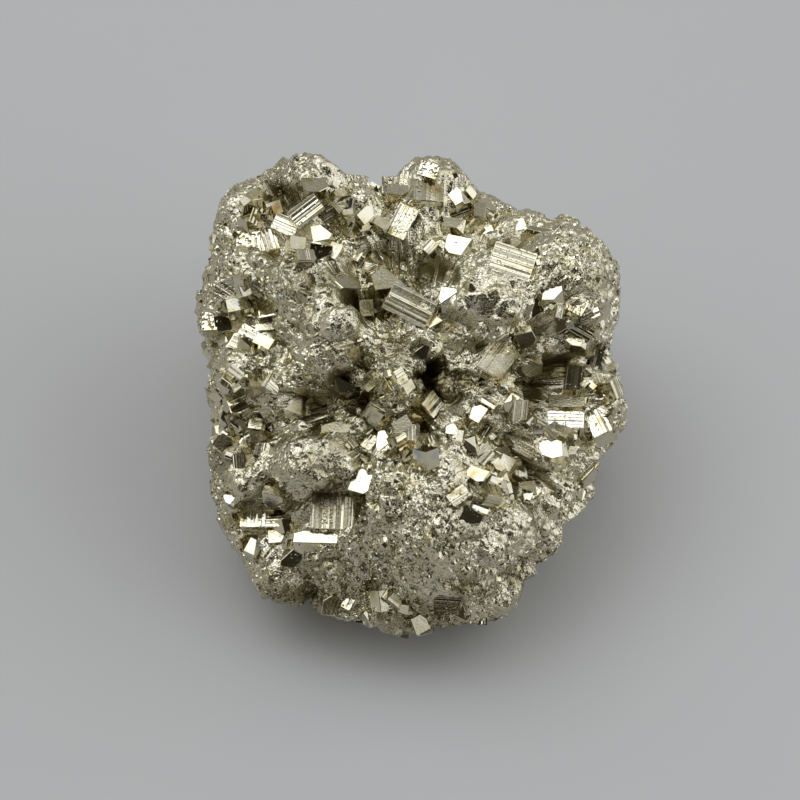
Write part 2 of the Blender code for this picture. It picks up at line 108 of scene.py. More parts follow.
# %% The core
OUTLINE_MM = (
    (33, -0.5), (31.5, 3.5), (30, 6.5), (31.5, 12.5), (31.5, 19.5), (29.2, 24.7), (24.8, 26.8),
    (16.2, 27.6), (10.3, 30.4), (6, 35.6), (0.5, 35.7), (-2.5, 32.8), (-6.2, 32.8), (-10, 33.2),
    (-13.7, 36), (-18.5, 36.7), (-25, 34), (-29, 30), (-30.3, 24.7), (-33, 20.1), (-33, 13.5), (-31.5, 5),
    (-30.9, -4.4), (-31.2, -11), (-29.5, -19.3), (-25.8, -25.3), (-23, -31), (-17, -32.7), (-8.9, -34.8),
    (-2, -37.3), (6.7, -37.8), (15.7, -33.9), (17, -28.5), (22.9, -26), (22.8, -20.3), (28, -16.1),
    (28.4, -10.3), (32.4, -6.2),
)
CORE_INSET_MM = 2.0
FRONT_MM, BACK_MM, BACK_SLOPE_MM = 21.5, 29.0, 11.0
SQUARENESS = 2.3
UNDERSIDE_MM, UNDERSIDE_SHARPNESS = 1.2, 14


def core_reach(ways):
    """How far the core reaches along each direction, in mm."""
    outline = np.array(OUTLINE_MM)
    angles = np.arctan2(outline[:, 1], outline[:, 0])
    reach = np.hypot(outline[:, 0], outline[:, 1]) - CORE_INSET_MM
    across = np.hypot(ways[:, 0], ways[:, 1])
    rim = np.interp(np.arctan2(ways[:, 1], ways[:, 0]), angles, reach, period=2 * math.pi)
    depth = np.where(ways[:, 2] > 0, FRONT_MM, BACK_MM + BACK_SLOPE_MM * ways[:, 1])
    full = ((across / rim) ** SQUARENESS + (np.abs(ways[:, 2]) / depth) ** SQUARENESS) ** (-1 / SQUARENESS)
    floor = (MIDDLE_MM[2] - UNDERSIDE_MM) / np.maximum(-upward_share(ways), 1e-6)
    return (full**-UNDERSIDE_SHARPNESS + floor**-UNDERSIDE_SHARPNESS) ** (-1 / UNDERSIDE_SHARPNESS)


print("the core reaches", core_reach(np.eye(3)).round(1), "mm right, up and towards the viewer")

# %% [markdown]
# ## Lumps and hollows
#
# Fine-grained pyrite grows in rounded knobs, because it grows outwards from many points at once. Each knob
# here is a ball sunk into the core, and where two meet, a small blend rounds the crease. The hollows
# between them are where growth from both sides never quite met, and they are pressed in afterwards.
#
# The show side's knobs are listed. The rest are scattered with a fixed seed, so that they fall in the
# same places each time the script runs.

# %% Lumps and hollows
LUMPS_MM = (  # right, up, radius, rise above the core
    (-15.5, 33, 6, 4), (-25.5, 28.5, 6.5, 3.6), (-10, 28.5, 6.5, 2.8), (3, 32.5, 6, 4.2),
    (10.5, 29, 5.5, 3), (17, 26, 5.5, 3), (25.5, 19, 9.5, 5.2), (27, 11, 6, 3.6), (12.5, 15, 8, 5),
    (20.5, 8, 5.5, 2.8), (-17.5, 19, 7.5, 4.4), (-13, 11.5, 7.5, 5), (-11, 4.5, 6.5, 4.2),
    (-26.5, 19.5, 6, 3.2), (-30, 13.5, 5, 3), (-25.5, 4.5, 8, 4), (-20.5, 0, 6, 3.6), (-2, 1.5, 5.5, 3.6),
    (6.5, 1, 4.5, 3), (-16, -12, 7.5, 4.6), (-26, -14, 6.5, 3.6), (-25.5, -23, 7, 3.4),
    (-21, -29, 6.5, 3.4), (4.5, -21.5, 13, 5.6), (-2, -18, 8, 4.4), (5, -12, 7, 4), (13.5, -22, 8, 4.4),
    (20.5, -19.5, 7, 4.2), (21.5, -9, 5.5, 2.6), (29, -1.5, 5.5, 3.4), (26.5, -9.5, 5, 3),
    (-2, -34, 6, 3.4), (9.5, -31.5, 6, 3.4), (-11, -32, 6, 3.4), (15.5, -30.5, 4, 2.8),
)
HOLLOWS_MM = (  # right, up, radius, depth
    (-20, 25, 5.5, 2), (-5, 23, 6, 2.6), (-4.5, 12, 5.5, 3.2), (3, 20, 5, 2.6), (1, -5, 6.5, 3),
    (12.5, -7, 5.5, 3), (-16.5, -4, 5.5, 3), (22.5, 0.5, 7.5, 4.4), (23.5, 11.5, 4.5, 2.2),
    (-13, -18.5, 5.5, 2.6), (-22, -19, 5, 2), (17.5, 24.5, 4, 1.6), (9, 8.5, 5, 2.6), (-23, 11.5, 4.5, 1.8),
    (-21, 30, 2.4, 2.6), (-9.5, 16.5, 3, 1.6), (2.5, 1.5, 2.4, 3.6), (-11.5, -1.5, 2.6, 2),
    (21.5, 2.5, 3.6, 2), (17.5, -9.5, 2.4, 3.4), (-13, -15, 3, 2.4), (-24.5, -17, 2, 1.8),
    (10.5, -15, 2, 2), (-6, -26.5, 2.2, 1.6), (16, -27.5, 2.4, 2.2),
)
SEED = 7
SMALL_LUMPS, SMALL_LUMP_RADIUS_MM, SMALL_LUMP_RISE_MM = 260, (2.2, 4.8), (-0.2, 1.0)
FAR_LUMPS, FAR_LUMP_RADIUS_MM, FAR_LUMP_RISE_MM, FAR_LUMP_COSINE = 64, (3.5, 6.5), (1.6, 4.0), -0.18
SMALL_LUMP_START = 0.6  # of the core's inset, from where the small lumps rise
CREASE_MM = 0.8
HOLLOW_ROUNDNESS = 1.5
SEARCH_MM, SEARCH_STEPS = (50, 10), 601  # before and behind the middle, where a line of sight is searched


def any_direction(chance):
    return unit(np.array([[chance.gauss(0, 1) for _ in range(3)]]))


def raise_ball(reach, ways, centre, radius, crease=CREASE_MM):
    """Lifts the reaches to a ball's far side where their directions meet it."""
    along = ways @ centre
    inside = along**2 - centre @ centre + radius**2
    met = np.flatnonzero((inside > 0) & (along > 0))
    far = along[met] + np.sqrt(inside[met])
    near = np.maximum(crease - np.abs(reach[met] - far), 0) / crease
    reach[met] = np.maximum(reach[met], far) + near**2 * crease / 4


def seen_at(right, up, reach_of):
    """The point of a surface on the line of sight through (right, up), or the nearest point to that line."""
    line = unit(np.array([right, up, 0]) - EYE_MM)
    steps = np.linspace(EYE_MM[2] - SEARCH_MM[0], EYE_MM[2] + SEARCH_MM[1], SEARCH_STEPS)
    points = EYE_MM + steps[:, None] * line
    beyond = np.linalg.norm(points, axis=1) - reach_of(unit(points))
    inside = np.flatnonzero(beyond < 0)
    return points[inside[0] if len(inside) else np.argmin(beyond)]


def lump_balls():
    """(centre, radius) of every lump: on the show side, on the far sides, then small ones all over."""
    lumps = []
    for right, up, radius, rise in LUMPS_MM:
        lumps.append((unit(seen_at(right, up, core_reach)[None]), radius, rise))
    chance = random.Random(SEED)
    while len(lumps) < len(LUMPS_MM) + FAR_LUMPS:
        way = any_direction(chance)
        if way[0, 2] < FAR_LUMP_COSINE:
            lumps.append((way, chance.uniform(*FAR_LUMP_RADIUS_MM), chance.uniform(*FAR_LUMP_RISE_MM)))
    for _ in range(SMALL_LUMPS):
        rise = CORE_INSET_MM * SMALL_LUMP_START + chance.uniform(*SMALL_LUMP_RISE_MM)
        lumps.append((any_direction(chance), chance.uniform(*SMALL_LUMP_RADIUS_MM), rise))
    return [(way[0] * (core_reach(way)[0] + rise - radius), radius) for way, radius, rise in lumps]


BALLS = lump_balls()


def mass_reach(ways, hollows):
    """How far the smooth mass reaches: core, lumps, then hollows."""
    reach = core_reach(ways)
    for centre, radius in BALLS:
        raise_ball(reach, ways, centre, radius)
    for centre, radius, depth in hollows:
        away = np.linalg.norm(ways * np.linalg.norm(centre) - centre, axis=1) / radius
        reach -= depth * np.clip(1 - away**2, 0, 1) ** HOLLOW_ROUNDNESS
    return reach


HOLLOWS = [(seen_at(row[0], row[1], lambda ways: mass_reach(ways, ())), row[2], row[3]) for row in HOLLOWS_MM]


def smooth_reach(ways):
    return mass_reach(ways, HOLLOWS)


print(len(BALLS), "lumps and", len(HOLLOWS), "hollows; the middle of the show side lies at",
      seen_at(0, 0, smooth_reach).round(1), "mm")

# %% [markdown]
# ## Gaps between the lumps
# The gaps are the darkest places on the stone, and the eye finds them first. They are narrow and deep, so
# light gets in only after several bounces, and each bounce takes more of the blue away. So they are pressed
# in for real: a narrow gap inside a wide, shallow basin, and what stands in a gap sinks with it. The finish
# later paints shade into them as well, darkening and dulling the colour by how deep a place has been
# pressed in.
#
# The show side's gaps are listed. The sides that don't show get theirs from a fixed seed, each a short
# slit that runs any way, because growth leaves such gaps all over a stone.

# %% Gaps and basins
GAPS_MM = (  # right, up, half width, half height, depth
    (-21.3, 30.8, 1.6, 1.6, 4), (-18.4, 30.6, 1.3, 1.4, 3.5), (-20.5, 28.4, 1.6, 0.8, 3),
    (-12.6, 28, 1.5, 1.8, 2.5), (-4.5, 22.3, 2, 1.2, 3), (-1.8, 20.4, 1.6, 1, 3),
    (3.2, 19.3, 2.6, 2.2, 4.5), (0.8, 16.6, 1.6, 1, 3), (-9.4, 14.6, 1.4, 1.8, 3), (-10, 19.6, 1.3, 1, 2.5),
    (-5.6, 13.6, 2.2, 1.6, 3), (1.2, 6.6, 1.2, 1.4, 2.5), (3.6, 2.6, 2.2, 3.4, 3.8),
    (6.6, -0.6, 1.6, 1.3, 3.4), (8, 2, 2, 1.5, 3), (11.6, 1.4, 0.8, 1, 2), (-11.2, 1.4, 2, 2.2, 4.5),
    (-15.6, -2.2, 2.4, 2.6, 5), (-8, 5.6, 1.7, 2.4, 3.5), (-19.4, -3.6, 1.2, 1.2, 2.5),
    (-7.6, -1.6, 1.6, 1.4, 3), (22.2, 3.6, 3.2, 1.8, 5), (19.2, 0.4, 2.2, 1.8, 4.5),
    (18, -2.4, 1.2, 1.2, 2.5), (28.4, 5.6, 1, 1.8, 3), (16.8, 6.2, 1.4, 0.9, 3), (19.6, 9.6, 1.4, 2.4, 2.5),
    (23.7, 14.5, 0.9, 0.9, 1), (27, 10.6, 1.6, 0.9, 2), (2, -6.4, 1, 1.4, 2.5), (17.4, -9.8, 1.7, 2.4, 4.5),
    (19.4, -12.6, 1.4, 1.3, 2.5), (-25.2, -9.4, 0.8, 1.8, 2), (-13.4, -15.3, 1.8, 1.1, 3.5),
    (-8.8, -17.4, 1.4, 2.4, 3), (-24.8, -15.9, 1.1, 0.8, 2), (-19.6, -18.5, 1.5, 0.7, 2.5),
    (-18.6, -30.2, 1.4, 1, 2.5), (-16.6, -31.4, 1.6, 1, 1.8), (-10.3, -29.9, 1.1, 0.8, 2),
    (-6.2, -30.2, 1.1, 0.8, 2), (7.8, -30, 1.6, 0.8, 2.2), (15.5, -29.5, 1.4, 1.1, 2.8),
    (10.6, -24.8, 1, 0.8, 1.4), (11, -14.7, 1.7, 0.8, 2), (6, 10.8, 1.6, 1.8, 2.5),
    (9.6, 7.4, 3.2, 0.9, 2.5), (-29.2, 8.7, 1.5, 0.9, 1.8), (14.2, 22.8, 3.6, 0.6, 1.4),
    (-24.2, 14.8, 2, 0.7, 1.5), (-15.8, 16, 0.7, 2.4, 1.2), (-19, 10, 2.6, 0.6, 1.5),
)
BASINS_MM = (  # right, up, half width, half height, depth
    (-14, -1.2, 7, 3.4, 1.9), (21.5, 3.4, 6.5, 3.6, 2.2), (2, 18.5, 4.6, 3.6, 1.8), (4.2, 1.6, 4.6, 4.6, 2),
    (-8.2, 14, 3.6, 3.6, 1.4), (-9.5, 4, 3.2, 5, 1), (-10, -17, 4.2, 3.6, 1.2), (17.6, -10.4, 2.8, 4.2, 2),
    (-19.8, 29.8, 2.8, 2.6, 1.4), (-17, -30, 4, 1.8, 0.8), (8, 9.6, 4.4, 2.2, 1.6),
    (-12.4, 27, 2.4, 2.4, 0.8), (-2.5, 21.5, 4, 2, 1.2),
)
FAR_GAPS, FAR_GAP_LENGTH_MM, FAR_GAP_WIDTH_MM, FAR_GAP_DEPTH_MM = 90, (2, 5), (0.8, 1.8), (1.2, 3.2)
LOWEST_FAR_GAP = -0.5  # the least upward share of its direction, so that none opens on the underside
GAP_DEEPENING = 1.6
GAP_REACH = 1.3  # times its half width, to where a gap's slope ends
SINKING_SHARE, MOST_SINKING_MM = 0.6, 2.6


def seen_place(points_mm):
    """Where points appear, as (right, up) in the plane through the stone's middle."""
    share = EYE_MM[2] / (EYE_MM[2] - points_mm[:, 2:])
    return (EYE_MM + (points_mm - EYE_MM) * share)[:, :2]


def far_gaps():
    """Gaps on the far sides: middle, ways along and across, each divided by half its size, and depth."""
    chance = random.Random(SEED + 14)
    gaps = []
    while len(gaps) < FAR_GAPS:
        way = any_direction(chance)
        if way[0, 2] < 0 and upward_share(way)[0] > LOWEST_FAR_GAP:
            along = unit(np.cross(way[0], any_direction(chance)[0]))
            gaps.append((way[0] * smooth_reach(way)[0], along / chance.uniform(*FAR_GAP_LENGTH_MM),
                         np.cross(way[0], along) / chance.uniform(*FAR_GAP_WIDTH_MM),
                         chance.uniform(*FAR_GAP_DEPTH_MM)))
    return gaps


FAR_GAPS_MM = far_gaps()


def pressed_mm(points):
    """How deep the gaps and basins press the mass in at points of its smooth shape."""
    right, up = seen_place(points).T
    depth = np.zeros(len(points))
    for number, (x, y, half_width, half_height, most) in enumerate(GAPS_MM + BASINS_MM):
        most *= GAP_DEEPENING if number < len(GAPS_MM) else 1
        depth += most * np.clip(GAP_REACH - np.hypot((right - x) / half_width, (up - y) / half_height), 0, 1)
    depth *= points[:, 2] > 0
    far = np.flatnonzero(points[:, 2] < 0)
    for middle, along, across, most in FAR_GAPS_MM:
        offsets = points[far] - middle
        near = np.linalg.norm(offsets, axis=1) < GAP_REACH / np.linalg.norm(along) + most
        share = GAP_REACH - np.hypot(offsets[near] @ along, offsets[near] @ across)
        depth[far[near]] += most * np.clip(share, 0, 1)
    return depth


def sunk(point):
    """A crystal's place, moved away from the viewer with the gap that it stands in."""
    sight = unit(EYE_MM - point)
    return point - sight * min(SINKING_SHARE * pressed_mm(point[None])[0], MOST_SINKING_MM)


def gap_share(places_mm):
    """How far into a named gap places of the show side are: 1 in its middle, 0 at its rim, less outside."""
    share = np.full(len(places_mm), -1.0)
    for right, up, half_width, half_height, _ in GAPS_MM:
        away = np.hypot((places_mm[:, 0] - right) / half_width, (places_mm[:, 1] - up) / half_height)
        share = np.maximum(share, 1 - away)
    return share


print(len(GAPS_MM), "gaps and", len(BASINS_MM), "basins, the deepest",
      round(pressed_mm(np.array([seen_at(row[0], row[1], smooth_reach) for row in GAPS_MM])).max(), 1), "mm")

# %% [markdown]
# ## The crystals that can be told apart
#
# About ninety crystals are big enough to be recognised, so they have a table of their own. A row says where
# the crystal appears, how long and wide the face is that shows, how far its ridges are turned from level,
# and how it leans. The lean matters most for the look. On a mirror it picks what the face reflects: a face
# that leans up by 20 degrees shows the light overhead and goes white, 35 degrees shows the grey backdrop,
# and one that faces the viewer shows the dark room behind the viewer.

# %% Where the named faces are
CRYSTALS = (  # right, up, along, across, turn, lean to the right, lean up, kind of face
    (-14.8, 31.8, 3.8, 2.8, 10, 5, 38, "flat"), (-16.2, 27.8, 5, 3.2, 38, -5, 12, "ridged"),
    (-19.4, 25.7, 4, 2.6, -25, -14, 14, "ridged"), (-12.6, 27.6, 2.8, 2.8, 30, 12, -4, "ridged"),
    (-22.3, 23.4, 4, 3.2, 105, -4, 28, "ridged"), (-25.1, 23.4, 3.4, 2.6, 0, -7, 20, "pitted"),
    (-17.5, 22.9, 2.4, 2.4, 80, 20, 30, "flat"), (-13.8, 24.5, 3, 2.4, 10, -8, 18, "flat"),
    (-14, 21.5, 3.2, 2.2, -10, 0, -6, "flat"), (-11.9, 21.7, 2.6, 1.8, 70, -2, 28, "flat"),
    (-10, 17, 3.8, 2.8, 10, 15, 40, "flat"), (-3.4, 17.5, 5.2, 3.8, 15, 4, 36, "flat"),
    (-1.5, 26.2, 5, 3.2, 65, -8, 17, "ridged"), (-0.3, 13.4, 7, 4.4, -28, -3, 12, "ridged"),
    (-2, 31.1, 3.6, 2.2, 0, 0, 40, "flat"), (-26.5, 13.7, 3.8, 2.8, 15, -8, 33, "flat"),
    (-22, 12.5, 3, 1.8, 10, -8, 22, "flat"), (-22.5, 10.2, 3, 1.6, 5, -4, 27, "flat"),
    (-31, 10.9, 2.3, 2.8, 0, -15, 20, "pitted"), (-29, 10.6, 2.4, 2.4, 10, -5, -2, "flat"),
    (-25, 9, 3.2, 2.2, -30, -6, 23, "ridged"), (2.6, 34.1, 2.8, 2.2, -20, -7, 21, "pitted"),
    (2.6, 30.9, 4.2, 4.6, 85, 8, 36, "ridged"), (6.9, 29.7, 2.6, 2.8, 45, -9, 18, "flat"),
    (7.3, 27.6, 3.2, 2, 20, 5, -8, "ridged"), (6.2, 26, 3.8, 1.8, -15, 0, 38, "flat"),
    (11.5, 25.2, 3.8, 2, 15, -8, 24, "flat"), (17, 25.7, 2.4, 2, 5, -6, 20, "flat"),
    (15.7, 23.1, 3, 2.4, 50, -8, 38, "flat"), (7.1, 22.5, 3.8, 2.8, -15, -7, 19, "flat"),
    (19.4, 24.6, 4, 2.8, 15, 10, 42, "flat"), (5.5, 14.2, 3.6, 2.6, 80, -10, 18, "flat"),
    (15.4, 20, 6.4, 4.8, -20, 6, 24, "ridged"), (3.2, 11.2, 2.6, 2, 30, -5, 22, "flat"),
    (21.2, 14.9, 3.8, 2.2, 5, -8, 20, "flat"), (19.4, 12.8, 3.2, 2, 75, 0, -2, "flat"),
    (23.5, 11.4, 2.6, 2.2, 20, 10, 35, "flat"), (25.9, 9.5, 4, 2.4, -30, 6, -6, "ridged"),
    (25.2, 8, 3.2, 1.9, -15, -4, 27, "flat"), (13.2, 5, 5.5, 4.2, 60, 5, 33, "ridged"),
    (28.5, 5.7, 3.5, 1.8, 75, 5, -5, "ridged"), (1.7, 6.2, 2.8, 2.2, 65, 0, -4, "flat"),
    (-27, -0.7, 3, 2.2, 25, -9, 20, "ridged"), (-26.5, -2.5, 2.8, 1.7, 20, -8, 18, "flat"),
    (-23.7, -4.5, 2.5, 2.5, 85, -4, 25, "flat"), (-22.9, -6.6, 3.8, 2, 10, 0, 36, "flat"),
    (-22.5, -8.7, 2.2, 3.2, 80, -3, 8, "ridged"), (-26.5, -10.6, 2.4, 2, 95, -4, 0, "ridged"),
    (-11.7, -5.3, 4.2, 2, 0, 2, 33, "flat"), (-10.6, 0.7, 3.4, 2, -30, 4, -5, "flat"),
    (-17.6, -1.8, 3, 3, 70, 25, 5, "flat"), (-4.2, -7.5, 3.2, 2.2, 85, -7, 19, "flat"),
    (-6.5, -7.5, 2.6, 1.8, 60, -3, 25, "ridged"), (-7.7, -13.7, 3.6, 3, 75, -8, 20, "flat"),
    (-7, -10.1, 2.2, 1.9, 85, 6, 35, "flat"), (-12.2, -18.2, 5.6, 6.4, 88, -5, 9, "ridged"),
    (-14.8, -22.8, 6.6, 2.8, -5, -7, 20, "flat"), (-24.4, -18.6, 4.4, 3.8, 92, -8, 21, "ridged"),
    (-20.6, -19.8, 4.2, 1.8, 3, -6, 21, "ridged"), (-24.4, -22.3, 2.6, 2, 80, -8, 22, "flat"),
    (-20.6, -22, 2.8, 2.4, 5, -6, 25, "flat"), (-27.9, -16.2, 2, 1.8, -30, -12, 18, "flat"),
    (-21, -14.8, 3.2, 2.6, -20, -5, 38, "flat"), (-18.3, -25.4, 3, 3.2, 80, -3, -15, "flat"),
    (-0.2, -6.2, 2.6, 2.8, 90, 0, 6, "ridged"), (9.9, -3.1, 2.6, 2.4, 60, -5, 24, "flat"),
    (10.9, -5.8, 3, 2.6, 60, -7, 20, "ridged"), (12, -1.2, 2.8, 2.2, -40, 3, 30, "ridged"),
    (6.6, -5.7, 2.5, 1.6, -10, -6, 20, "flat"), (17.7, 2.8, 2.4, 1.8, -55, -4, 10, "ridged"),
    (23.8, -1.4, 5.4, 2.2, -5, 0, 36, "flat"), (23.6, -4.2, 5.4, 2.6, -5, -5, 19, "ridged"),
    (28.5, -4.5, 4.6, 3, -65, -8, 22, "ridged"), (21.7, -8.7, 4, 2.9, 10, -7, 20, "flat"),
    (24.3, -9.4, 2.6, 1.8, 75, 20, 25, "flat"), (26.4, -12, 3, 2.4, 50, -8, 25, "ridged"),
    (24.8, 1.4, 5.5, 3, 85, 6, -16, "ridged"), (18.4, 4.8, 2.8, 2, 20, 5, 34, "flat"),
    (10.2, -12.2, 2.8, 2.8, 60, -5, 23, "flat"), (7.2, -15.8, 3.2, 2.4, 40, -3, 30, "ridged"),
    (10.6, -17.6, 2.8, 1.6, -25, -6, 20, "ridged"), (9, -19.3, 3.2, 2.4, -30, 2, -3, "flat"),
    (13.7, -9.5, 2.8, 2.2, 20, 5, 35, "flat"), (30, 3.8, 3, 2.2, -20, 5, 35, "flat"),
    (5.5, -32.6, 4.4, 2.8, -3, 0, -20, "ridged"), (14.3, -31.8, 2.8, 2.2, 75, -6, 25, "ridged"),
    (-9.5, -31.8, 3.2, 1.6, 65, -5, 20, "ridged"), (9.8, -31.8, 2.8, 2.2, 40, 4, 34, "flat"),
    (16.5, -26.2, 2.6, 1.8, 85, -3, 15, "ridged"),
)
CRYSTAL_RISE = 0.06  # how much of its shorter side a face stands out of the mass


def axes_from(outward, first_side):
    """Three unit directions at right angles: along, across and outward."""
    across_way = unit(np.cross(outward, first_side))
    return np.array([np.cross(across_way, outward), across_way, outward])


def named_face(right, up, along, across, turn, lean_right, lean_up, kind):
    """The middle of a named crystal's face, and its axes."""
    point = sunk(seen_at(right, up, smooth_reach))
    sight = unit(EYE_MM - point)
    outward = unit(sight + np.array([math.tan(math.radians(lean_right)), math.tan(math.radians(lean_up)), 0]))
    first = np.array([math.cos(math.radians(turn)), math.sin(math.radians(turn)), 0])
    return point + outward * min(along, across) * CRYSTAL_RISE, axes_from(outward, first)


NAMED_FACES = [named_face(*row) for row in CRYSTALS]
print(len(CRYSTALS), "named faces, the biggest", max(row[2] for row in CRYSTALS), "mm long")

# %% [markdown]
# ## The skin of the mass
#
# A ball made of six square grids gives an even skin with no poles. Its directions are stretched to the
# stone's own proportions and then crowded towards the show side, where each edge is about a fifth of a
# millimetre long, finer than the real grains. That is a lot of triangles, and it buys the look: what seems
# to be a texture on broken pyrite is really shape. The skin is shaded smooth, so that its creases bend a
# reflection like crumpled foil, and the flat facets come later, as grains strewn on it.

# %% Directions over the whole ball
GRID_CELLS = 220
PROPORTIONS_MM = (33, 35, 25)
SHOW_SIDE_CROWDING = 0.45
CORNER_NUDGE = 0.25  # of a cell, sideways


def ball_grid(cells):
    """Directions on a ball made of six square grids, and the squares between them."""
    line = np.tan(np.linspace(-math.pi / 4, math.pi / 4, cells + 1))
    a, b = (grid.ravel() for grid in np.meshgrid(line, line, indexing="ij"))
    one = np.ones_like(a)
    sides = [(one, a, b), (-one, b, a), (b, one, a), (a, -one, b), (a, b, one), (b, a, -one)]
    corners = np.concatenate([np.stack(side, axis=1) for side in sides])
    number = np.arange((cells + 1) ** 2).reshape(cells + 1, cells + 1)
    square = np.stack([number[:-1, :-1], number[1:, :-1], number[1:, 1:], number[:-1, 1:]], axis=-1)
    squares = np.concatenate([square.reshape(-1, 4) + i * len(a) for i in range(6)])
    _, first, merged = np.unique(corners.round(6), axis=0, return_index=True, return_inverse=True)
    return unit(corners[first]), merged.reshape(-1)[squares]


def split_squares(squares, chance):
    """Two triangles from each square, along either diagonal."""
    turned = chance.random(len(squares)) < 0.5
    squares = np.where(turned[:, None], np.roll(squares, 1, axis=1), squares)
    return np.concatenate([squares[:, [0, 1, 2]], squares[:, [0, 2, 3]]])


def crowded(ways):
    """Even directions, moved towards the stone's long sides and its show side."""
    return unit((ways + np.array([0, 0, SHOW_SIDE_CROWDING])) * np.array(PROPORTIONS_MM))


grid_chance = np.random.default_rng(SEED)
ball_ways, squares = ball_grid(GRID_CELLS)
nudge = CORNER_NUDGE * math.pi / 2 / GRID_CELLS
mass_ways = crowded(unit(ball_ways + grid_chance.uniform(-nudge, nudge, ball_ways.shape)))
mass_triangles = split_squares(squares, grid_chance)
print(len(mass_ways), "corners and", len(mass_triangles), "triangles")

# %% [markdown]
# ## Where the surface is seen, and how it is worn
#
# Four things change over the show side. In the valleys crystals are packed side by side, so the mass sinks
# to make room for them. Where the stone was rubbed or grew slowly its grain is smooth, while everywhere
# else it is broken. On the grainy places no packed crystal stands at all. And here and there the grain is
# darker and duller. All are laid out as ovals, in the same millimetres as the crystals.
#
# Low swells are added to the grainy lumps too. A lump that is one single ball looks moulded, and on the
# real stone each is a heap of smaller ones.

# %% Valleys and smooth places
PACKED_PLACES_MM = (  # right, up, half width, half height
    (-17, 26, 10, 7), (4, 27, 9, 7), (-4, 17, 7, 6), (22, 10, 8, 4), (-1, -4, 12, 7), (23, -1, 8, 8),
    (-25, -4, 5, 7), (-19, -19, 9, 6), (-25, 11, 5, 5), (2, -33, 16, 3), (13, -11, 6, 6),
)
SMOOTH_PLACES_MM = (
    (12, 13.5, 6, 4), (20, -19, 4, 9), (-2, -36, 8, 1.6), (-29.5, -3, 2.2, 10), (-23.5, 19.5, 3.6, 4.6),
    (-14, 13, 4.5, 3.5), (30.5, 0, 2.2, 6.5), (23, 25, 7, 2.2), (5, 36, 4.5, 1.8), (-21, -3, 2.5, 3.5),
    (2, -10, 4, 2), (-8, 20, 3, 2), (-16, -26, 4, 2.4), (16, 1, 3, 3), (31, 12, 2, 6),
)
ROUGH_PLACES_MM = (
    (4, -23, 12, 9), (-15.5, -11.5, 8, 6), (-15, 6, 7, 5), (-26, 2, 5, 6), (-3, 2, 4, 5),
    (-11.5, 31, 2.5, 2.5),
)
# places where the open skin's colour is made darker and duller
DARKENED_PLACES_MM = (
    (-12.5, 17, 4.5, 3), (-7, 19.5, 2.2, 1.8), (-2.5, 5.8, 3.2, 3.6), (-16, 12, 2, 2.5), (-21.5, 7, 3, 2),
    (-14.5, -11, 5, 2.6), (8, -16.5, 6.5, 3.2), (18, -16, 2.2, 3.5), (-17, -32.5, 10, 3.5),
    (0, -34.5, 8, 4), (10, -30, 4.5, 2.5), (29, 17, 2.8, 2.8), (15, 22.5, 3, 1.8), (-26, -10.5, 2.4, 2.4),
    (18, -2.5, 4.5, 2.4), (-11.5, -8, 3, 2), (27.5, 8, 2, 1.8), (-17, 17, 4, 3), (-14, -27, 5, 2.5),
    (16, -28, 3, 2), (-29, -9, 2.5, 5), (-11, 6.5, 3, 2), (9, -21.5, 3.5, 2), (4.5, -2.5, 2.5, 2.5),
    (19, -20, 2, 3),
)
OVAL_EDGE, OVAL_STEEPNESS, VALLEY_STEEPNESS = 1.1, 1.5, 2.2
LOWEST_VALLEY_MM = -30
WORN_PATCH_MM, WORN_EVERYWHERE, WORN_IN_PLACES = 5, 0.35, 0.7
SWELLS_MM = (  # right, up, radius, rise
    (4.5, -20.5, 9, 1), (-3, -17, 6, 0.7), (6, -27.5, 8, 1), (12.5, -21, 6.5, 0.8), (5, -12.5, 4.5, 0.3),
    (-16, -11.5, 5.5, 0.7), (-25.5, 3, 5.5, 0.3), (-13, 7, 5.5, 0.2), (-2.5, 1.5, 4, 0.3),
    (-25, -22, 4, 0.4), (-21, -28, 4.5, 0.4), (-14.5, -27.5, 3.5, 0.3), (-26.5, -13, 3.5, 0.3),
    (0, -27.5, 3.2, 0.5), (9.5, -28.5, 3.2, 0.5), (14.5, -25.5, 3.2, 0.4), (-4.5, -23.5, 3, 0.3),
    (4.5, -24, 2.6, 0.3), (-7.2, -31.5, 3.6, 0.5), (10.2, -32, 2.6, 0.4), (22, -16, 3.4, 0.4),
    (20.5, -22, 3.2, 0.4), (25, -19, 2.6, 0.3), (-20, -24, 2.4, 0.3),
)

outline_ways = np.arctan2(*np.array(OUTLINE_MM).T[::-1])
outline_reach = np.hypot(*np.array(OUTLINE_MM).T)


def beyond_outline(points):
    """How far points appear outside the outline of the show side, in mm."""
    right, up = seen_place(points).T
    reach = np.interp(np.arctan2(up, right), outline_ways, outline_reach, period=2 * math.pi)
    return np.hypot(right, up) - reach


def oval_share(points_mm, ovals, steepness=OVAL_STEEPNESS):
    """1 in the middle of ovals seen on the show side, falling to 0 a little outside them."""
    right, up = seen_place(points_mm).T
    share = np.zeros(len(points_mm))
    for x, y, half_width, half_height in ovals:
        away = np.hypot((right - x) / half_width, (up - y) / half_height)
        share = np.maximum(share, steepness * (OVAL_EDGE - away))
    share = np.clip(share, 0, 1) * (points_mm[:, 2] > 0)
    return share * share * (3 - 2 * share)


def noise_at(points_mm, size_mm, shift=0):
    """Smooth noise from -1 to 1. Another shift gives noise that is unlike the rest."""
    places = points_mm / size_mm + np.array([shift, 0, 0])
    return np.array([noise.noise(place) for place in places.tolist()])


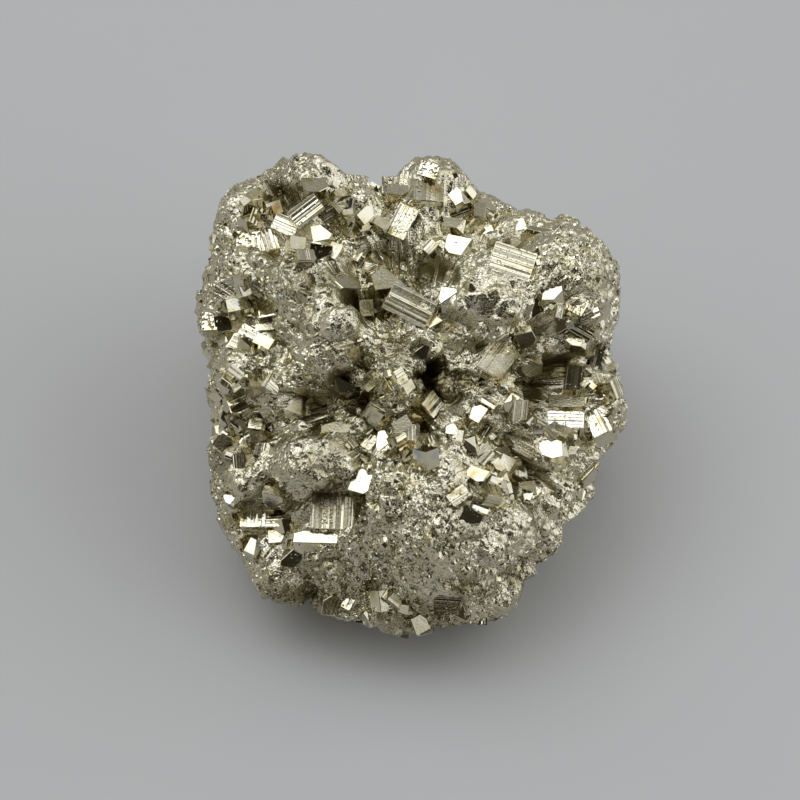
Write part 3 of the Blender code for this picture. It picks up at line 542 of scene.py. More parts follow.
smooth_mm = smooth_reach(mass_ways)
for right, up, radius, rise in SWELLS_MM:
    centre = seen_at(right, up, smooth_reach) + np.array([0, 0, rise - radius])
    raise_ball(smooth_mm, mass_ways, centre, radius)
smooth_points = mass_ways * smooth_mm[:, None]
valleys = [oval for oval in PACKED_PLACES_MM if oval[1] > LOWEST_VALLEY_MM]
valley = oval_share(smooth_points, valleys, VALLEY_STEEPNESS)
patches = noise_at(smooth_points, WORN_PATCH_MM)
worn = np.clip(WORN_EVERYWHERE + patches + WORN_IN_PLACES * oval_share(smooth_points, SMOOTH_PLACES_MM), 0, 1)
print("valleys cover", round(100 * (valley > 0.5).mean()), "% of the skin's corners, and smooth places",
      round(100 * (worn > 0.7).mean()), "%")

# %% [markdown]
# ## Valleys, knobs and pits
#
# Now the skin gets its relief, coarse to fine. The valleys sink a little to make room for their crystals,
# and the gaps and basins are pressed in. Knobs of 2 to 6 mm and nodules of 1 to 2.5 mm stand on everything
# else, each a small ball over the few directions near its own, and pits lie between them.

# %% Coarse relief of the skin
VALLEY_DROP_MM, SINK_MM = 1.2, 0.4
KNOBS, KNOB_RADIUS_MM, KNOB_RISE_MM = 420, (1.2, 3.0), (0.2, 0.8)
NODULES, NODULE_RADIUS_MM, NODULE_RISE_MM = 1800, (0.6, 1.3), (0.1, 0.4)
PITS, PIT_RADIUS_MM, PIT_DEPTH_MM = 260, (0.7, 1.8), (0.8, 2.4)
VALLEY_FLATTENING, PIT_SHARE_ON_KNOBS = 0.7, 0.25  # knobs are lower in valleys, pits shallower on knobs
KNOB_CREASE_MM = 0.2
PATCH_COSINE, PATCH_HALF_WIDTH = 0.993, 0.12  # a patch reaches 7 degrees from its middle


def skin_patches(ways, count, chance):
    """For each of some random directions: the direction and the numbers of the skin's corners near it."""
    order = np.argsort(ways[:, 0])
    across = ways[order, 0]
    for _ in range(count):
        way = crowded(any_direction(chance))[0]
        lowest, highest = np.searchsorted(across, (way[0] - PATCH_HALF_WIDTH, way[0] + PATCH_HALF_WIDTH))
        near = order[lowest:highest]
        near = near[ways[near] @ way > PATCH_COSINE]
        if len(near):
            yield way, near


def add_balls(reach, ways, count, radius_mm, rise_mm, chance):
    for way, near in skin_patches(ways, count, chance):
        radius, rise = chance.uniform(*radius_mm), chance.uniform(*rise_mm)
        rise *= 1 - VALLEY_FLATTENING * valley[near].mean()
        middle = near[np.argmax(ways[near] @ way)]
        part = reach[near]
        raise_ball(part, ways[near], way * (reach[middle] + rise - radius), radius, KNOB_CREASE_MM)
        reach[near] = part


def sink_pits(reach, ways, count, radius_mm, depth_mm, chance):
    for way, near in skin_patches(ways, count, chance):
        radius, depth = chance.uniform(*radius_mm), chance.uniform(*depth_mm)
        middle = near[np.argmax(ways[near] @ way)]
        depth *= PIT_SHARE_ON_KNOBS + (1 - PIT_SHARE_ON_KNOBS) * valley[middle]
        away = np.linalg.norm(ways[near] - way, axis=1) * reach[middle] / radius
        reach[near] -= depth * np.clip(1 - away**2, 0, 1)


relief_chance = random.Random(SEED + 4)
mass_mm = smooth_mm - SINK_MM - VALLEY_DROP_MM * valley
mass_mm -= pressed_mm(smooth_points)
add_balls(mass_mm, mass_ways, KNOBS, KNOB_RADIUS_MM, KNOB_RISE_MM, relief_chance)
sink_pits(mass_mm, mass_ways, PITS, PIT_RADIUS_MM, PIT_DEPTH_MM, relief_chance)
add_balls(mass_mm, mass_ways, NODULES, NODULE_RADIUS_MM, NODULE_RISE_MM, relief_chance)
print("all this changes the reach by", round(float(np.abs(mass_mm - smooth_mm).mean()), 2), "mm on average")

# %% [markdown]
# ## Fused grain
#
# Each grain is a facet with a tilt of its own. A grain's seed is one of the skin's corners, every corner
# belongs to the nearest seed, and its height is that of the seed's tilted plane. Two sizes are laid over
# each other, a coarse one of about 1.4 mm and a fine one of 0.5 mm, and both are flatter where the stone is
# worn.
#
# Folds go over the grains: creases between the larger ones and sharp ridges on the smaller ones. Both are
# steeper where the viewer meets the skin at a glancing angle, and where it faces the floor. Skin that hangs
# over would mirror nothing but the floor, and on the real stone it glitters there as well, because its
# grains look up.

# %% Grain
GRAINS = (  # corners of the skin to a grain, steepness of its tilt, height of its step in mm
    (55, 0.32, 0.05), (8, 0.42, 0.03),
)
TYPICAL_REACH_MM, MOST_TILT = 23, 2  # the most a grain is tilted, times its usual steepness
FOLDS = (  # size in mm, height in mm, twist
    (1.3, 0.20, 1.5), (0.7, -0.15, 1.8),
)
FOLD_MEAN, GLANCING_GAIN, LOW_GAIN = 0.3, 1.2, 0.8
CRUMPLE_SIZE_MM, CRUMPLE_MM, CRUMPLE_MEAN = 1.6, 0.22, 0.35
CRUMPLE_STRENGTH, COARSE_STRENGTH, FINE_STRENGTH, FOLD_STRENGTH = (  # unworn, and what wear takes away
    (1.2, 0.6), (1.1, 0.7), (1.1, 0.9), (1.15, 0.7),
)
FINE_GRAIN_PATCH_MM, FINE_GRAIN_MEAN, FINE_GRAIN_SWING, FINE_GRAIN_RANGE = 3.2, 0.7, 1.5, (0.15, 1.2)
LOW_FROM, LOW_LIFT = 0.5, 0.6  # skin that faces up by a smaller share is low, and its grains tilt up


def unworn(strength):
    """How strong a kind of relief is at each corner of the skin, by how worn it is there."""
    fresh, lost = strength
    return fresh - lost * worn


def grain_heights(ways, corners_each, steepness, step_mm, chance, lift):
    """The height of each corner on the tilted plane of its grain."""
    places_mm = ways * TYPICAL_REACH_MM
    seeds = chance.choice(len(ways), len(ways) // corners_each, replace=False)
    tree = kdtree.KDTree(len(seeds))
    for number, place in enumerate(places_mm[seeds].tolist()):
        tree.insert(place, number)
    tree.balance()
    nearest = np.array([tree.find(place)[1] for place in places_mm.tolist()])
    steepest = MOST_TILT * steepness
    tilts = np.clip(chance.normal(0, steepness, (len(seeds), 3)), -steepest, steepest)
    tilts -= lift[seeds, None] * SIGHT_TURN[2]
    steps = chance.uniform(-step_mm, step_mm, len(seeds))
    offsets = places_mm - places_mm[seeds][nearest]
    return (offsets * tilts[nearest]).sum(axis=1) + steps[nearest]


def fold_heights(points_mm, size_mm, height_mm, twist):
    """Sharp creases with round backs between them, as in crumpled foil."""
    places = (points_mm / size_mm).tolist()
    return height_mm * (np.abs([noise.variable_lacunarity(place, twist) for place in places]) - FOLD_MEAN)


crumple = np.abs(noise_at(smooth_points, CRUMPLE_SIZE_MM))
crumple += 0.5 * np.abs(noise_at(smooth_points, CRUMPLE_SIZE_MM / 2, shift=9))
mass_mm += CRUMPLE_MM * (CRUMPLE_MEAN - crumple) * unworn(CRUMPLE_STRENGTH)
smooth_corners = smooth_points[mass_triangles]
edges = smooth_corners[:, 1:] - smooth_corners[:, :1]
triangle_ways = np.cross(edges[:, 0], edges[:, 1])
corner_normals = np.zeros_like(smooth_points)
for k in range(3):
    np.add.at(corner_normals, mass_triangles[:, k], triangle_ways)
glancing = 1 - np.abs((unit(corner_normals) * unit(EYE_MM - smooth_points)).sum(axis=1))
outward = unit(corner_normals) * np.sign((corner_normals * smooth_points).sum(axis=1, keepdims=True))
low = np.clip(1 - (outward @ SIGHT_TURN[2]) / LOW_FROM, 0, 1)
broken = FINE_GRAIN_MEAN + FINE_GRAIN_SWING * noise_at(smooth_points, FINE_GRAIN_PATCH_MM, shift=3)
fine_strength = np.clip(broken, *FINE_GRAIN_RANGE) * unworn(FINE_STRENGTH)
for (corners_each, steepness, step_mm), strength in zip(GRAINS, (unworn(COARSE_STRENGTH), fine_strength)):
    heights = grain_heights(mass_ways, corners_each, steepness, step_mm, grid_chance, LOW_LIFT * low)
    mass_mm += heights * strength
steeper = 1 + GLANCING_GAIN * glancing + LOW_GAIN * low
for size_mm, height_mm, twist in FOLDS:
    mass_mm += fold_heights(smooth_points, size_mm, height_mm, twist) * unworn(FOLD_STRENGTH) * steeper
print("grain and folds stand out by up to", round(float((mass_mm - smooth_mm).max()), 1), "mm")

# %% [markdown]
# ## Room for the named crystals
#
# The skin is lowered under each named face and out of the line of sight to it, so that grain laps round a
# crystal's edges and never over it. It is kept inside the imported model's box, and the outline of the show
# side trims what still sticks out.

# %% Room for the named crystals
LAP_MM, MOST_LAP_MM, RAGGED_SIZE_MM, RAGGEDNESS = 0.1, 0.35, 1.3, 1.6
FACE_NEIGHBOURHOOD, FACE_CLEARANCE = 0.85, 1.04  # cosine of the widest angle from a face, share of its size
OUTLINE_SLACK_MM, STEEPEST_TRIM = 0.8, 0.3


def clear_named_faces(reach, ways, ragged):
    """Lowers the skin to just under each named face, and out of the viewer's way to it. Says where it did."""
    cleared = np.zeros(len(ways), bool)
    for (middle, axes), (_, _, along, across, *_) in zip(NAMED_FACES, CRYSTALS):
        near = np.flatnonzero(ways @ unit(middle) > FACE_NEIGHBOURHOOD)
        sight = unit(EYE_MM - middle)
        face_frame = np.linalg.inv(np.stack([axes[0], axes[1], sight], axis=1))  # along, across, to the eye
        start, step = face_frame @ middle, ways[near] @ face_frame.T
        half = np.array([along, across]) / 2 * FACE_CLEARANCE - MOST_LAP_MM * ragged[near, None]
        sides = np.stack([(start[:2] - half) / step[:, :2], (start[:2] + half) / step[:, :2]])
        enters = np.maximum(sides.min(axis=0).max(axis=1), (start[2] - LAP_MM) / step[:, 2])
        crosses = (enters < sides.max(axis=0).min(axis=1)) & (enters > 0) & (step[:, 2] > 0)
        cleared[near[crosses]] = True
        reach[near[crosses]] = np.minimum(reach[near[crosses]], enters[crosses])
    return cleared


ragged = np.clip(0.5 + RAGGEDNESS * noise_at(smooth_points, RAGGED_SIZE_MM, shift=5), 0, 1)
cleared = clear_named_faces(mass_mm, mass_ways, ragged)
model_ways = mass_ways @ SIGHT_TURN.T
to_box = (np.where(model_ways > 0, HIGH, LOW) - MIDDLE_MM) / model_ways
mass_mm = np.minimum(mass_mm, to_box.min(axis=1))
skin_points = mass_ways * mass_mm[:, None]
outside = np.maximum(beyond_outline(skin_points) - OUTLINE_SLACK_MM * crumple, 0)
mass_mm -= outside / np.maximum(np.hypot(mass_ways[:, 0], mass_ways[:, 1]), STEEPEST_TRIM)
skin_points = mass_ways * mass_mm[:, None]
print("the mass measures", np.ptp(to_model(skin_points), axis=0).round(1), "mm")

# %% [markdown]
# ## Pyrite as a material
#
# Pyrite is an opaque iron sulphide that reflects a little over half of the light, and less blue than red,
# so it looks pale brass in one reflection and olive after three or four. As a material it is simply a
# metal. Its colour is what one reflection gives, and the gaps turn olive because the light really bounces
# there; painted shade, darker the deeper a gap is, is laid into the colour on top of that.
#
# The faces were never worked. A fresh cube face is nearly a mirror, and the fused grain is duller, because
# each facet carries finer ones that no mesh can hold. What dulls a face is oxide, so tarnish, rust and
# roughness go together.

# %% Colours, and helpers for nodes
def linear(hex_colour):
    """A colour written as sRGB hex, as linear values with an alpha of 1."""
    values = [int(hex_colour[i : i + 2], 16) / 255 for i in (1, 3, 5)]
    return [v / 12.92 if v <= 0.04045 else ((v + 0.055) / 1.055) ** 2.4 for v in values] + [1.0]


def add_node(tree, kind, settings=(), inputs=(), links=()):
    """Adds a node, sets its properties and its inputs' values, and links other nodes' outputs into it."""
    node = tree.nodes.new(kind)
    for name, value in dict(settings).items():
        setattr(node, name, value)
    for name, value in dict(inputs).items():
        node.inputs[name].default_value = value
    for name, output in dict(links).items():
        tree.links.new(output, node.inputs[name])
    return node


def add_ramp(tree, stops, value):
    """Adds a colour ramp of (position, hex colour) stops, and gives the colour that a value picks from it."""
    ramp = add_node(tree, "ShaderNodeValToRGB", links={"Fac": value})
    elements = ramp.color_ramp.elements
    while len(elements) < len(stops):
        elements.new(0.5)
    for stop, (position, hex_colour) in zip(elements, stops):
        stop.position, stop.color = position, linear(hex_colour)
    return ramp.outputs["Color"]


def new_material(name):
    """A new material, its node tree, its shader, and the object's own places for its textures."""
    material = bpy.data.materials.new(name)
    material.use_nodes = True
    tree = material.node_tree
    place = add_node(tree, "ShaderNodeTexCoord").outputs["Object"]
    return material, tree, tree.nodes["Principled BSDF"], place


TARNISH = (  # position on the noise, colour: iron stain, olive tarnish, two of fresh pyrite, a grey-blue film
    (0.22, "#A58D62"), (0.34, "#BCB38E"), (0.46, "#D0CAB0"), (0.62, "#D3CEB7"), (0.78, "#AEB4B6"),
)
SHADE_AND_TARNISH_COLOUR, SHADE_AND_TARNISH_ROUGHNESS = "#A8A28C", 0.3  # painted shade deep in the gaps, tarnish and darker places on the open skin: what it leaves of the colour, and how dull it is
MIX_FIRST, MIX_SECOND, MIX_RESULT = 6, 7, 2  # a Mix node's sockets for colours, whose names others share
print("pyrite, linear:", [[round(v, 2) for v in linear(colour)[:3]] for _, colour in TARNISH])

# %% [markdown]
# ## Three finishes of one mineral
#
# One function makes all three, since fused grain, grown faces and loose grains are the same metal with more
# or less of a fine bump. The colour is never one flat tone. A slow noise takes it through rust, olive
# tarnish, fresh brass and a thin grey film, and the same noise makes some patches duller than others. A
# number that each piece carries at its corners darkens the colour and takes the gloss: painted shade by how
# deep in a gap a corner lies, and on the open skin the tarnish and the darker places.

# %% The finishes
def pyrite(name, roughness, roughness_spread, patch_mm, tarnish, bump_mm=0, bump_grain_mm=0.1, bump_twist=0):
    """Bare pyrite: a metal, tarnished and dulled in patches, with a bump for grain too fine to model."""
    material, tree, shader, place = new_material(name)
    shader.inputs["Metallic"].default_value = 1.0
    patches = add_node(tree, "ShaderNodeTexNoise", {}, {"Scale": 1 / (patch_mm * MM), "Detail": 3.0},
                       {"Vector": place}).outputs["Fac"]
    stops = [(0.5 + (position - 0.5) * tarnish, hex_colour) for position, hex_colour in TARNISH]
    colour = add_ramp(tree, stops, patches)
    dull = add_node(tree, "ShaderNodeMapRange", {},
                    {"To Min": roughness - roughness_spread, "To Max": roughness + roughness_spread},
                    {"Value": patches})
    # painted shade: deep in the gaps this number darkens the colour and takes the gloss; on the open skin it
    # also carries tarnish and darker places
    shade_and_tarnish = add_node(tree, "ShaderNodeAttribute", {"attribute_name": "shade_and_tarnish"}).outputs["Fac"]
    shaded_and_tarnished = add_node(tree, "ShaderNodeMix", {"data_type": "RGBA", "blend_type": "MULTIPLY"},
                       {MIX_SECOND: linear(SHADE_AND_TARNISH_COLOUR)}, {"Factor": shade_and_tarnish, MIX_FIRST: colour})
    duller = add_node(tree, "ShaderNodeMapRange", {}, {"To Max": SHADE_AND_TARNISH_ROUGHNESS},
                      {"Value": shade_and_tarnish, "To Min": dull.outputs["Result"]})
    tree.links.new(shaded_and_tarnished.outputs[MIX_RESULT], shader.inputs["Base Color"])
    tree.links.new(duller.outputs["Result"], shader.inputs["Roughness"])
    if bump_mm:
        grain = add_node(tree, "ShaderNodeTexNoise", {}, {"Scale": 1 / (bump_grain_mm * MM), "Detail": 1.0,
                                                          "Distortion": bump_twist}, {"Vector": place})
        bump = add_node(tree, "ShaderNodeBump", {}, {"Distance": bump_mm * MM, "Strength": 1.0},
                        {"Height": grain.outputs["Fac"]})
        tree.links.new(bump.outputs["Normal"], shader.inputs["Normal"])
    return material


# Fused fine grain, as broken out of the ground: a crumpled metallic sparkle. The bump's grain is a tenth of
# a millimetre or less on the real stone, and is drawn at 0.3 mm, or it would be lost between two pixels.
grain_finish = pyrite("pyrite_fused_grain", 0.09, 0.03, 3.0, 1.3, 0.1, 0.32, 0.8)
# A grown cube face, never touched: a mirror with a faint unevenness.
face_finish = pyrite("pyrite_grown_face", 0.13, 0.06, 3.0, 0.9, 0.018, 0.35)
# Loose-looking single grains on the crust: small bright faces.
crust_finish = pyrite("pyrite_crust_grain", 0.13, 0.05, 2.5, 1.1)
print("finishes:", grain_finish.name, face_finish.name, crust_finish.name)

# %% [markdown]
# ## From points to a piece
#
# Every piece is made the same way: a mesh kept inside the imported model's box, with its finish, its map, and
# the number that says how much each corner is darkened: painted shade by how deep in a gap it lies, and for
# all but the crystals' grown faces also the tarnish and the darker places of the open skin. The map is a
# ball's eight sides folded out into a square, as seen from the stone's middle, so all of the skin has a place
# on it. The mass comes in three slices, because one mesh of that size is slow to handle.

# %% Making a piece
MAP_SCALE = 0.48  # a little under half, so that nothing reaches the map's edge
FULL_SHADE_DEPTH_MM = 5  # how deep in a gap the stain is full
OPEN_SKIN_DARKENING, TARNISHED_SIZE_MM, TARNISH_EDGE_MM = 0.6, 8, 5


def add_bake_map(mesh, corners):
    """A flat map for other programs, by direction from the stone's middle, unfolded like an octahedron."""
    corner_of = np.empty(len(mesh.loops), np.int32)
    mesh.loops.foreach_get("vertex_index", corner_of)
    starts = np.empty(len(mesh.polygons), np.int32)
    mesh.polygons.foreach_get("loop_start", starts)
    face_of = np.searchsorted(starts, np.arange(len(mesh.loops)), side="right") - 1
    places = corners[corner_of]
    middles = np.add.reduceat(places, starts)
    signs = np.where(middles < 0, -1.0, 1.0)[face_of]
    flat = places[:, :2] / (places * signs).sum(axis=1, keepdims=True)
    folded = signs[:, :2] * (1 - (signs[:, :2] * flat)[:, ::-1])
    flat = np.where(signs[:, 2:] > 0, flat, folded)
    layer = mesh.uv_layers.new(name="OFBake")
    layer.data.foreach_set("uv", np.clip(0.5 + MAP_SCALE * flat, 0, 1).astype(np.float32).ravel())


def shade_and_tarnish_share(points, holds_tarnish):
    """How dark places are made: painted shade, full deep in a gap, and less on the open skin's darker
    patches.
    """
    # painted shade: the deeper a place lies in a gap, the darker its colour
    share = pressed_mm(points) / FULL_SHADE_DEPTH_MM
    if holds_tarnish:
        patches = np.clip(2 * noise_at(points, TARNISHED_SIZE_MM), 0, 1)
        patches *= np.clip(-points[:, 2] / TARNISH_EDGE_MM, 0, 1)
        share += OPEN_SKIN_DARKENING * np.maximum(patches, oval_share(points, DARKENED_PLACES_MM))
    return np.clip(share, 0, 1)


def add_object(name, data):
    """A new object in the scene."""
    thing = bpy.data.objects.new(name, data)
    bpy.context.scene.collection.objects.link(thing)
    return thing


def make_piece(name, shape, finish, smooth=False):
    """A mesh object from corners and faces, attached to the root, which hides the imported stone and stands
    for it.
    """
    corners, faces = shape
    mesh = bpy.data.meshes.new(name)
    mesh.from_pydata(np.clip(to_model(corners), LOW, HIGH) * MM, [], faces)
    mesh.materials.append(finish)
    mesh.polygons.foreach_set("use_smooth", np.full(len(mesh.polygons), smooth))
    mesh.update()
    add_bake_map(mesh, corners)
    # painted shade in the gaps for every piece; tarnish and darker places only where the finish is not a
    # grown face
    shaded_and_tarnished = shade_and_tarnish_share(corners, finish is not face_finish)
    mesh.attributes.new("shade_and_tarnish", "FLOAT", "POINT").data.foreach_set("value", shaded_and_tarnished.astype(np.float32))
    piece = add_object(name, mesh)
    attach(piece, "root")
    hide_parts(STONE)
    mesh.calc_loop_triangles()
    print(name, "has", len(mesh.loop_triangles), "triangles")


def slice_of(triangles):
    """A part of the skin with only the corners that it uses."""
    used, renumbered = np.unique(triangles, return_inverse=True)
    return skin_points[used], renumbered.reshape(-1, 3).tolist()


from_left = mass_triangles[np.argsort(skin_points[mass_triangles, 0].mean(axis=1), kind="stable")]
for side, third in zip(("left", "middle", "right"), np.array_split(from_left, 3)):
    make_piece("grainy_mass_" + side, slice_of(third), grain_finish, smooth=True)

# %% [markdown]
# ## Striated cube crystals
#
# Pyrite's cube faces carry fine parallel ridges, because the crystal switched back and forth between two
# kinds of face as it grew. The ridges on neighbouring faces run at right angles. They are 0.15 to 0.5 mm
# apart, wide enough to show, so they are modelled.
#
# One way is to cut grooves in a cube. This way is cheaper and closer to how it grew: three ridged bars of
# the same size, one along each axis, share one place. Each shows its ridges on one pair of faces, and their
# ends make the stepped edges that real cubes have.

# %% A ridged bar
TREAD_MM, RISER_MM = (0.12, 0.5), (0.04, 0.14)
TREAD_TILT, RISER_TILT = 0.12, (0.15, 0.8)
RIDGE_DEPTH_MM = 0.15
SHELF_SHRINK_MM = 2 * RIDGE_DEPTH_MM + 0.02  # a bar's plain sides hide behind the others' ridges
RIDGE_STRENGTH = (0.5, 1.0)


def ridge_line(width, strength, chance):
    """(across, height) from edge to edge of a ridged face, as nearly level treads and steep risers."""
    across, height, way = -width / 2, -RIDGE_DEPTH_MM / 2, 1
    line = [(across, height)]
    while across < width / 2:
        if len(line) % 2:
            step = chance.uniform(*TREAD_MM)
            rise = step * chance.gauss(0, TREAD_TILT)
        else:
            way *= chance.choice((-1, 1, 1))
            step = chance.uniform(*RISER_MM)
            rise = way * step * chance.uniform(*RISER_TILT) * strength
        if not -RIDGE_DEPTH_MM < height + rise < 0:
            way, rise = -way, -rise
        across = min(across + step, width / 2)
        height = min(0.0, max(-RIDGE_DEPTH_MM, height + rise))
        line.append((across, height))
    return line


def ridged_bar(length, width, height, strength, chance):
    """A bar along x with ridges on its top and bottom: its corners and faces."""
    top = [(y, height / 2 + z) for y, z in ridge_line(width - SHELF_SHRINK_MM, strength, chance)]
    bottom = [(-y, -height / 2 - z) for y, z in ridge_line(width - SHELF_SHRINK_MM, strength, chance)]
    ring = top + bottom
    half = (length - SHELF_SHRINK_MM) / 2
    corners = [(x, y, z) for x in (-half, half) for y, z in ring]
    count = len(ring)
    faces = [(i, (i + 1) % count, count + (i + 1) % count, count + i) for i in range(count)]
    faces += [tuple(range(count))[::-1], tuple(range(count, 2 * count))]
    return np.array(corners), faces


def striated_block(along, across, deep, strength, chance):
    """A cube crystal round the origin, ridged on all six faces. On the outer one the ridges run along x."""
    corners, faces = [], []
    for length, width, height, order in ((along, across, deep, (0, 1, 2)), (deep, along, across, (1, 2, 0)),
                                         (across, deep, along, (2, 0, 1))):
        bar_corners, bar_faces = ridged_bar(length, width, height, strength, chance)
        shift = sum(len(c) for c in corners)
        corners.append(bar_corners[:, order])
        faces += [tuple(i + shift for i in face[::-1]) for face in bar_faces]
    return np.concatenate(corners), faces


trial, trial_faces = striated_block(5, 4, 4, 1.0, random.Random(1))
print("a striated cube has", len(trial_faces), "faces and measures", np.ptp(trial, axis=0).round(2), "mm")

# %% [markdown]
# ## Crystals with flat and pitted faces
#
# Most of the crystals are plain: a cube with a corner or an edge missing where a neighbour grew into it.
# Each is made once as a cube of side 1, cut by a few planes, and then stretched and turned for every place
# where one is needed. A real cut shows as one clean facet, which a bump or a rounded corner would not give.
# Some faces are pitted, where grains were stuck to them and fell out.

# %% Cut cubes and pitted cubes
CUT_CUBES, CUT_DEPTH, CUT_SKEW = 28, (0.08, 0.36), 0.35  # depths in sides of the cube
EDGE_CUT_SHARE, BLUNT_EDGE = 0.4, 0.02
PIT_CELL_MM, FACE_PIT_MM, FACE_PIT_DEPTH_MM, PITTED_FROM = 0.2, 0.45, 0.14, 0.12


def cut_cube(chance, cuts, edge_width):
    """A cube of side 1 with some corners and edges cut off and the rest blunted: its corners and faces."""
    bm = bmesh.new()
    bmesh.ops.create_cube(bm, size=1)
    for _ in range(chance.choice(cuts)):
        corner = Vector([chance.choice((-1, 1)) for _ in range(3)])
        if chance.random() < EDGE_CUT_SHARE:
            corner[chance.randrange(3)] = 0
        normal = (corner + Vector([chance.uniform(-CUT_SKEW, CUT_SKEW) for _ in range(3)])).normalized()
        reach = max(vert.co @ normal for vert in bm.verts)
        parts = bm.verts[:] + bm.edges[:] + bm.faces[:]
        cut = bmesh.ops.bisect_plane(bm, geom=parts, plane_co=normal * (reach - chance.uniform(*CUT_DEPTH)),
                                     plane_no=normal, clear_outer=True)
        rim = [e for e in cut["geom_cut"] if isinstance(e, bmesh.types.BMEdge)]
        bmesh.ops.contextual_create(bm, geom=rim)
    if edge_width:
        bmesh.ops.bevel(bm, geom=bm.edges[:], offset=edge_width, segments=1, affect="EDGES")
    bmesh.ops.recalc_face_normals(bm, faces=bm.faces)
    bm.verts.index_update()
    shape = np.array([v.co for v in bm.verts]), [tuple(v.index for v in face.verts) for face in bm.faces]
    bm.free()
    return shape


def pitted_block(along, across, deep, chance):
    """A cube crystal whose outer face is a grid with shallow flat-bottomed pits pressed into it."""
    columns, rows = max(4, round(along / PIT_CELL_MM)), max(4, round(across / PIT_CELL_MM))
    offset = chance.uniform(0, 50)
    corners = []
    for j in range(rows + 1):
        for i in range(columns + 1):
            x, y = along * (i / columns - 0.5), across * (j / rows - 0.5)
            rim = i in (0, columns) or j in (0, rows)
            pit = noise.noise(Vector((x / FACE_PIT_MM + offset, y / FACE_PIT_MM, 0))) > PITTED_FROM
            corners.append((x, y, deep / 2 - (FACE_PIT_DEPTH_MM if pit and not rim else 0)))
    wide = columns + 1
    faces = [(k, k + 1, k + wide + 1, k + wide)
             for j in range(rows) for k in range(j * wide, j * wide + columns)]
    ring = list(range(columns)) + [columns + wide * j for j in range(rows)]
    ring += [rows * wide + columns - i for i in range(columns)] + [(rows - j) * wide for j in range(rows)]
    count = len(corners)
    corners += [(corners[k][0], corners[k][1], -deep / 2) for k in ring]
    sides = len(ring)
    faces += [(ring[(k + 1) % sides], ring[k], count + k, count + (k + 1) % sides) for k in range(sides)]
    faces.append(tuple(range(count + sides - 1, count - 1, -1)))
    return np.array(corners), faces


cube_chance = random.Random(SEED + 10)
SMALL_CUBES = [cut_cube(cube_chance, (0, 1, 2, 3, 4, 5), 0) for _ in range(CUT_CUBES)]
BIG_CUBES = [cut_cube(cube_chance, (3, 4, 5, 6), BLUNT_EDGE) for _ in range(CUT_CUBES)]
print(CUT_CUBES, "small cut cubes with", sorted(len(faces) for _, faces in SMALL_CUBES), "faces")

# %% [markdown]
# ## Putting the named crystals in place
#
# Each shape was made round the origin. It is moved so that the middle of its outer face lies where the
# table says.

# %% Named crystals
def stand(shape, face_middle, axes, deep):
    """Moves a crystal from the origin to its place, with the middle of its outer face at face_middle."""
    corners, faces = shape
    return corners @ axes + face_middle - axes[2] * deep / 2, faces


def crystal_shape(kind, sides, chance):
    """A crystal of one of the three kinds round the origin, with its outer face up."""
    if kind == "ridged":
        return striated_block(*sides, chance.uniform(*RIDGE_STRENGTH), chance)
    if kind == "pitted":
        return pitted_block(*sides, chance)
    corners, faces = chance.choice(BIG_CUBES)
    return corners * np.array(sides), faces


def named_crystals():
    chance = random.Random(SEED + 11)
    placed = []
    for (middle, axes), (_, _, along, across, *_, kind) in zip(NAMED_FACES, CRYSTALS):
        deep = max(along, across)
        placed.append(stand(crystal_shape(kind, (along, across, deep), chance), middle, axes, deep))
    return placed


def joined(shapes):
    """Many separate shapes as one set of corners and faces."""
    starts = np.cumsum([0] + [len(corners) for corners, _ in shapes])
    faces = []
    for (_, own_faces), start in zip(shapes, starts):
        faces += [tuple(int(i + start) for i in face) for face in own_faces]
    return np.concatenate([corners for corners, _ in shapes]), faces


make_piece("main_crystals", joined(named_crystals()), face_finish)
print("main_crystals are", len(NAMED_FACES), "crystals")

# %% [markdown]
# ## Loose crystals
#
# Two more sets fill the picture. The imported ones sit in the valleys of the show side, and the scattered
# ones cover the sides that nobody has seen, so that the stone holds up when it is turned. They are drawn
# with a fixed seed from the same rules as the solid's own crystals, so each one stands where the solid has
# it, or has sunk with the gap that it is in. It faces roughly as the mass does, and leans and turns by
# chance.

# %% A loose crystal
CRYSTAL_LEAN, CRYSTAL_NARROWNESS, CRYSTAL_STAND = 40, (0.6, 1.0), (0.1, 0.4)
SLOPE_STEP = 0.03  # to either side of a direction, where the mass's slope is felt for


def surface_normal(point):
    """The mass's outward direction at a point, from its slope a little to either side."""
    way = unit(point[None])[0]
    side = unit(np.cross(way, [0.0, 1.0, 0.31]))
    other = np.cross(way, side)
    around = unit(way + SLOPE_STEP * np.array([side, -side, other, -other]))
    ends = around * smooth_reach(around)[:, None]
    normal = np.cross(ends[0] - ends[1], ends[2] - ends[3])
    return unit(normal * np.sign(normal @ way))


def loose_crystal(chance, looks, point, facing, sides_mm, cut_share):
    """A crystal on the mass that faces roughly a given way. looks draws what the solid's own draws lack."""
    lean = math.tan(math.radians(CRYSTAL_LEAN))
    outward = unit(facing + np.array([chance.uniform(-lean, lean) for _ in range(3)]))
    first = np.array([chance.gauss(0, 1) for _ in range(3)])
    along = chance.uniform(*sides_mm)
    across = along * chance.uniform(*CRYSTAL_NARROWNESS)
    face_middle = point + outward * across * chance.uniform(*CRYSTAL_STAND)
    if chance.random() < cut_share:  # the solid draws twice for the corner that it cuts off
        chance.choice((-1, 1)), chance.choice((-1, 1))
    kind = looks.choice(("flat", "flat", "ridged", "ridged", "pitted"))
    shape = crystal_shape(kind, (along, across, along), looks)
    corners, faces = stand(shape, face_middle, axes_from(outward, first), along)
    aside = max(beyond_outline(corners).max() - OUTLINE_SLACK_MM / 2, 0)
    return corners - unit(point * (1, 1, 0)) * aside, faces


print("the middle of the show side faces", surface_normal(seen_at(0, 0, smooth_reach)).round(2))

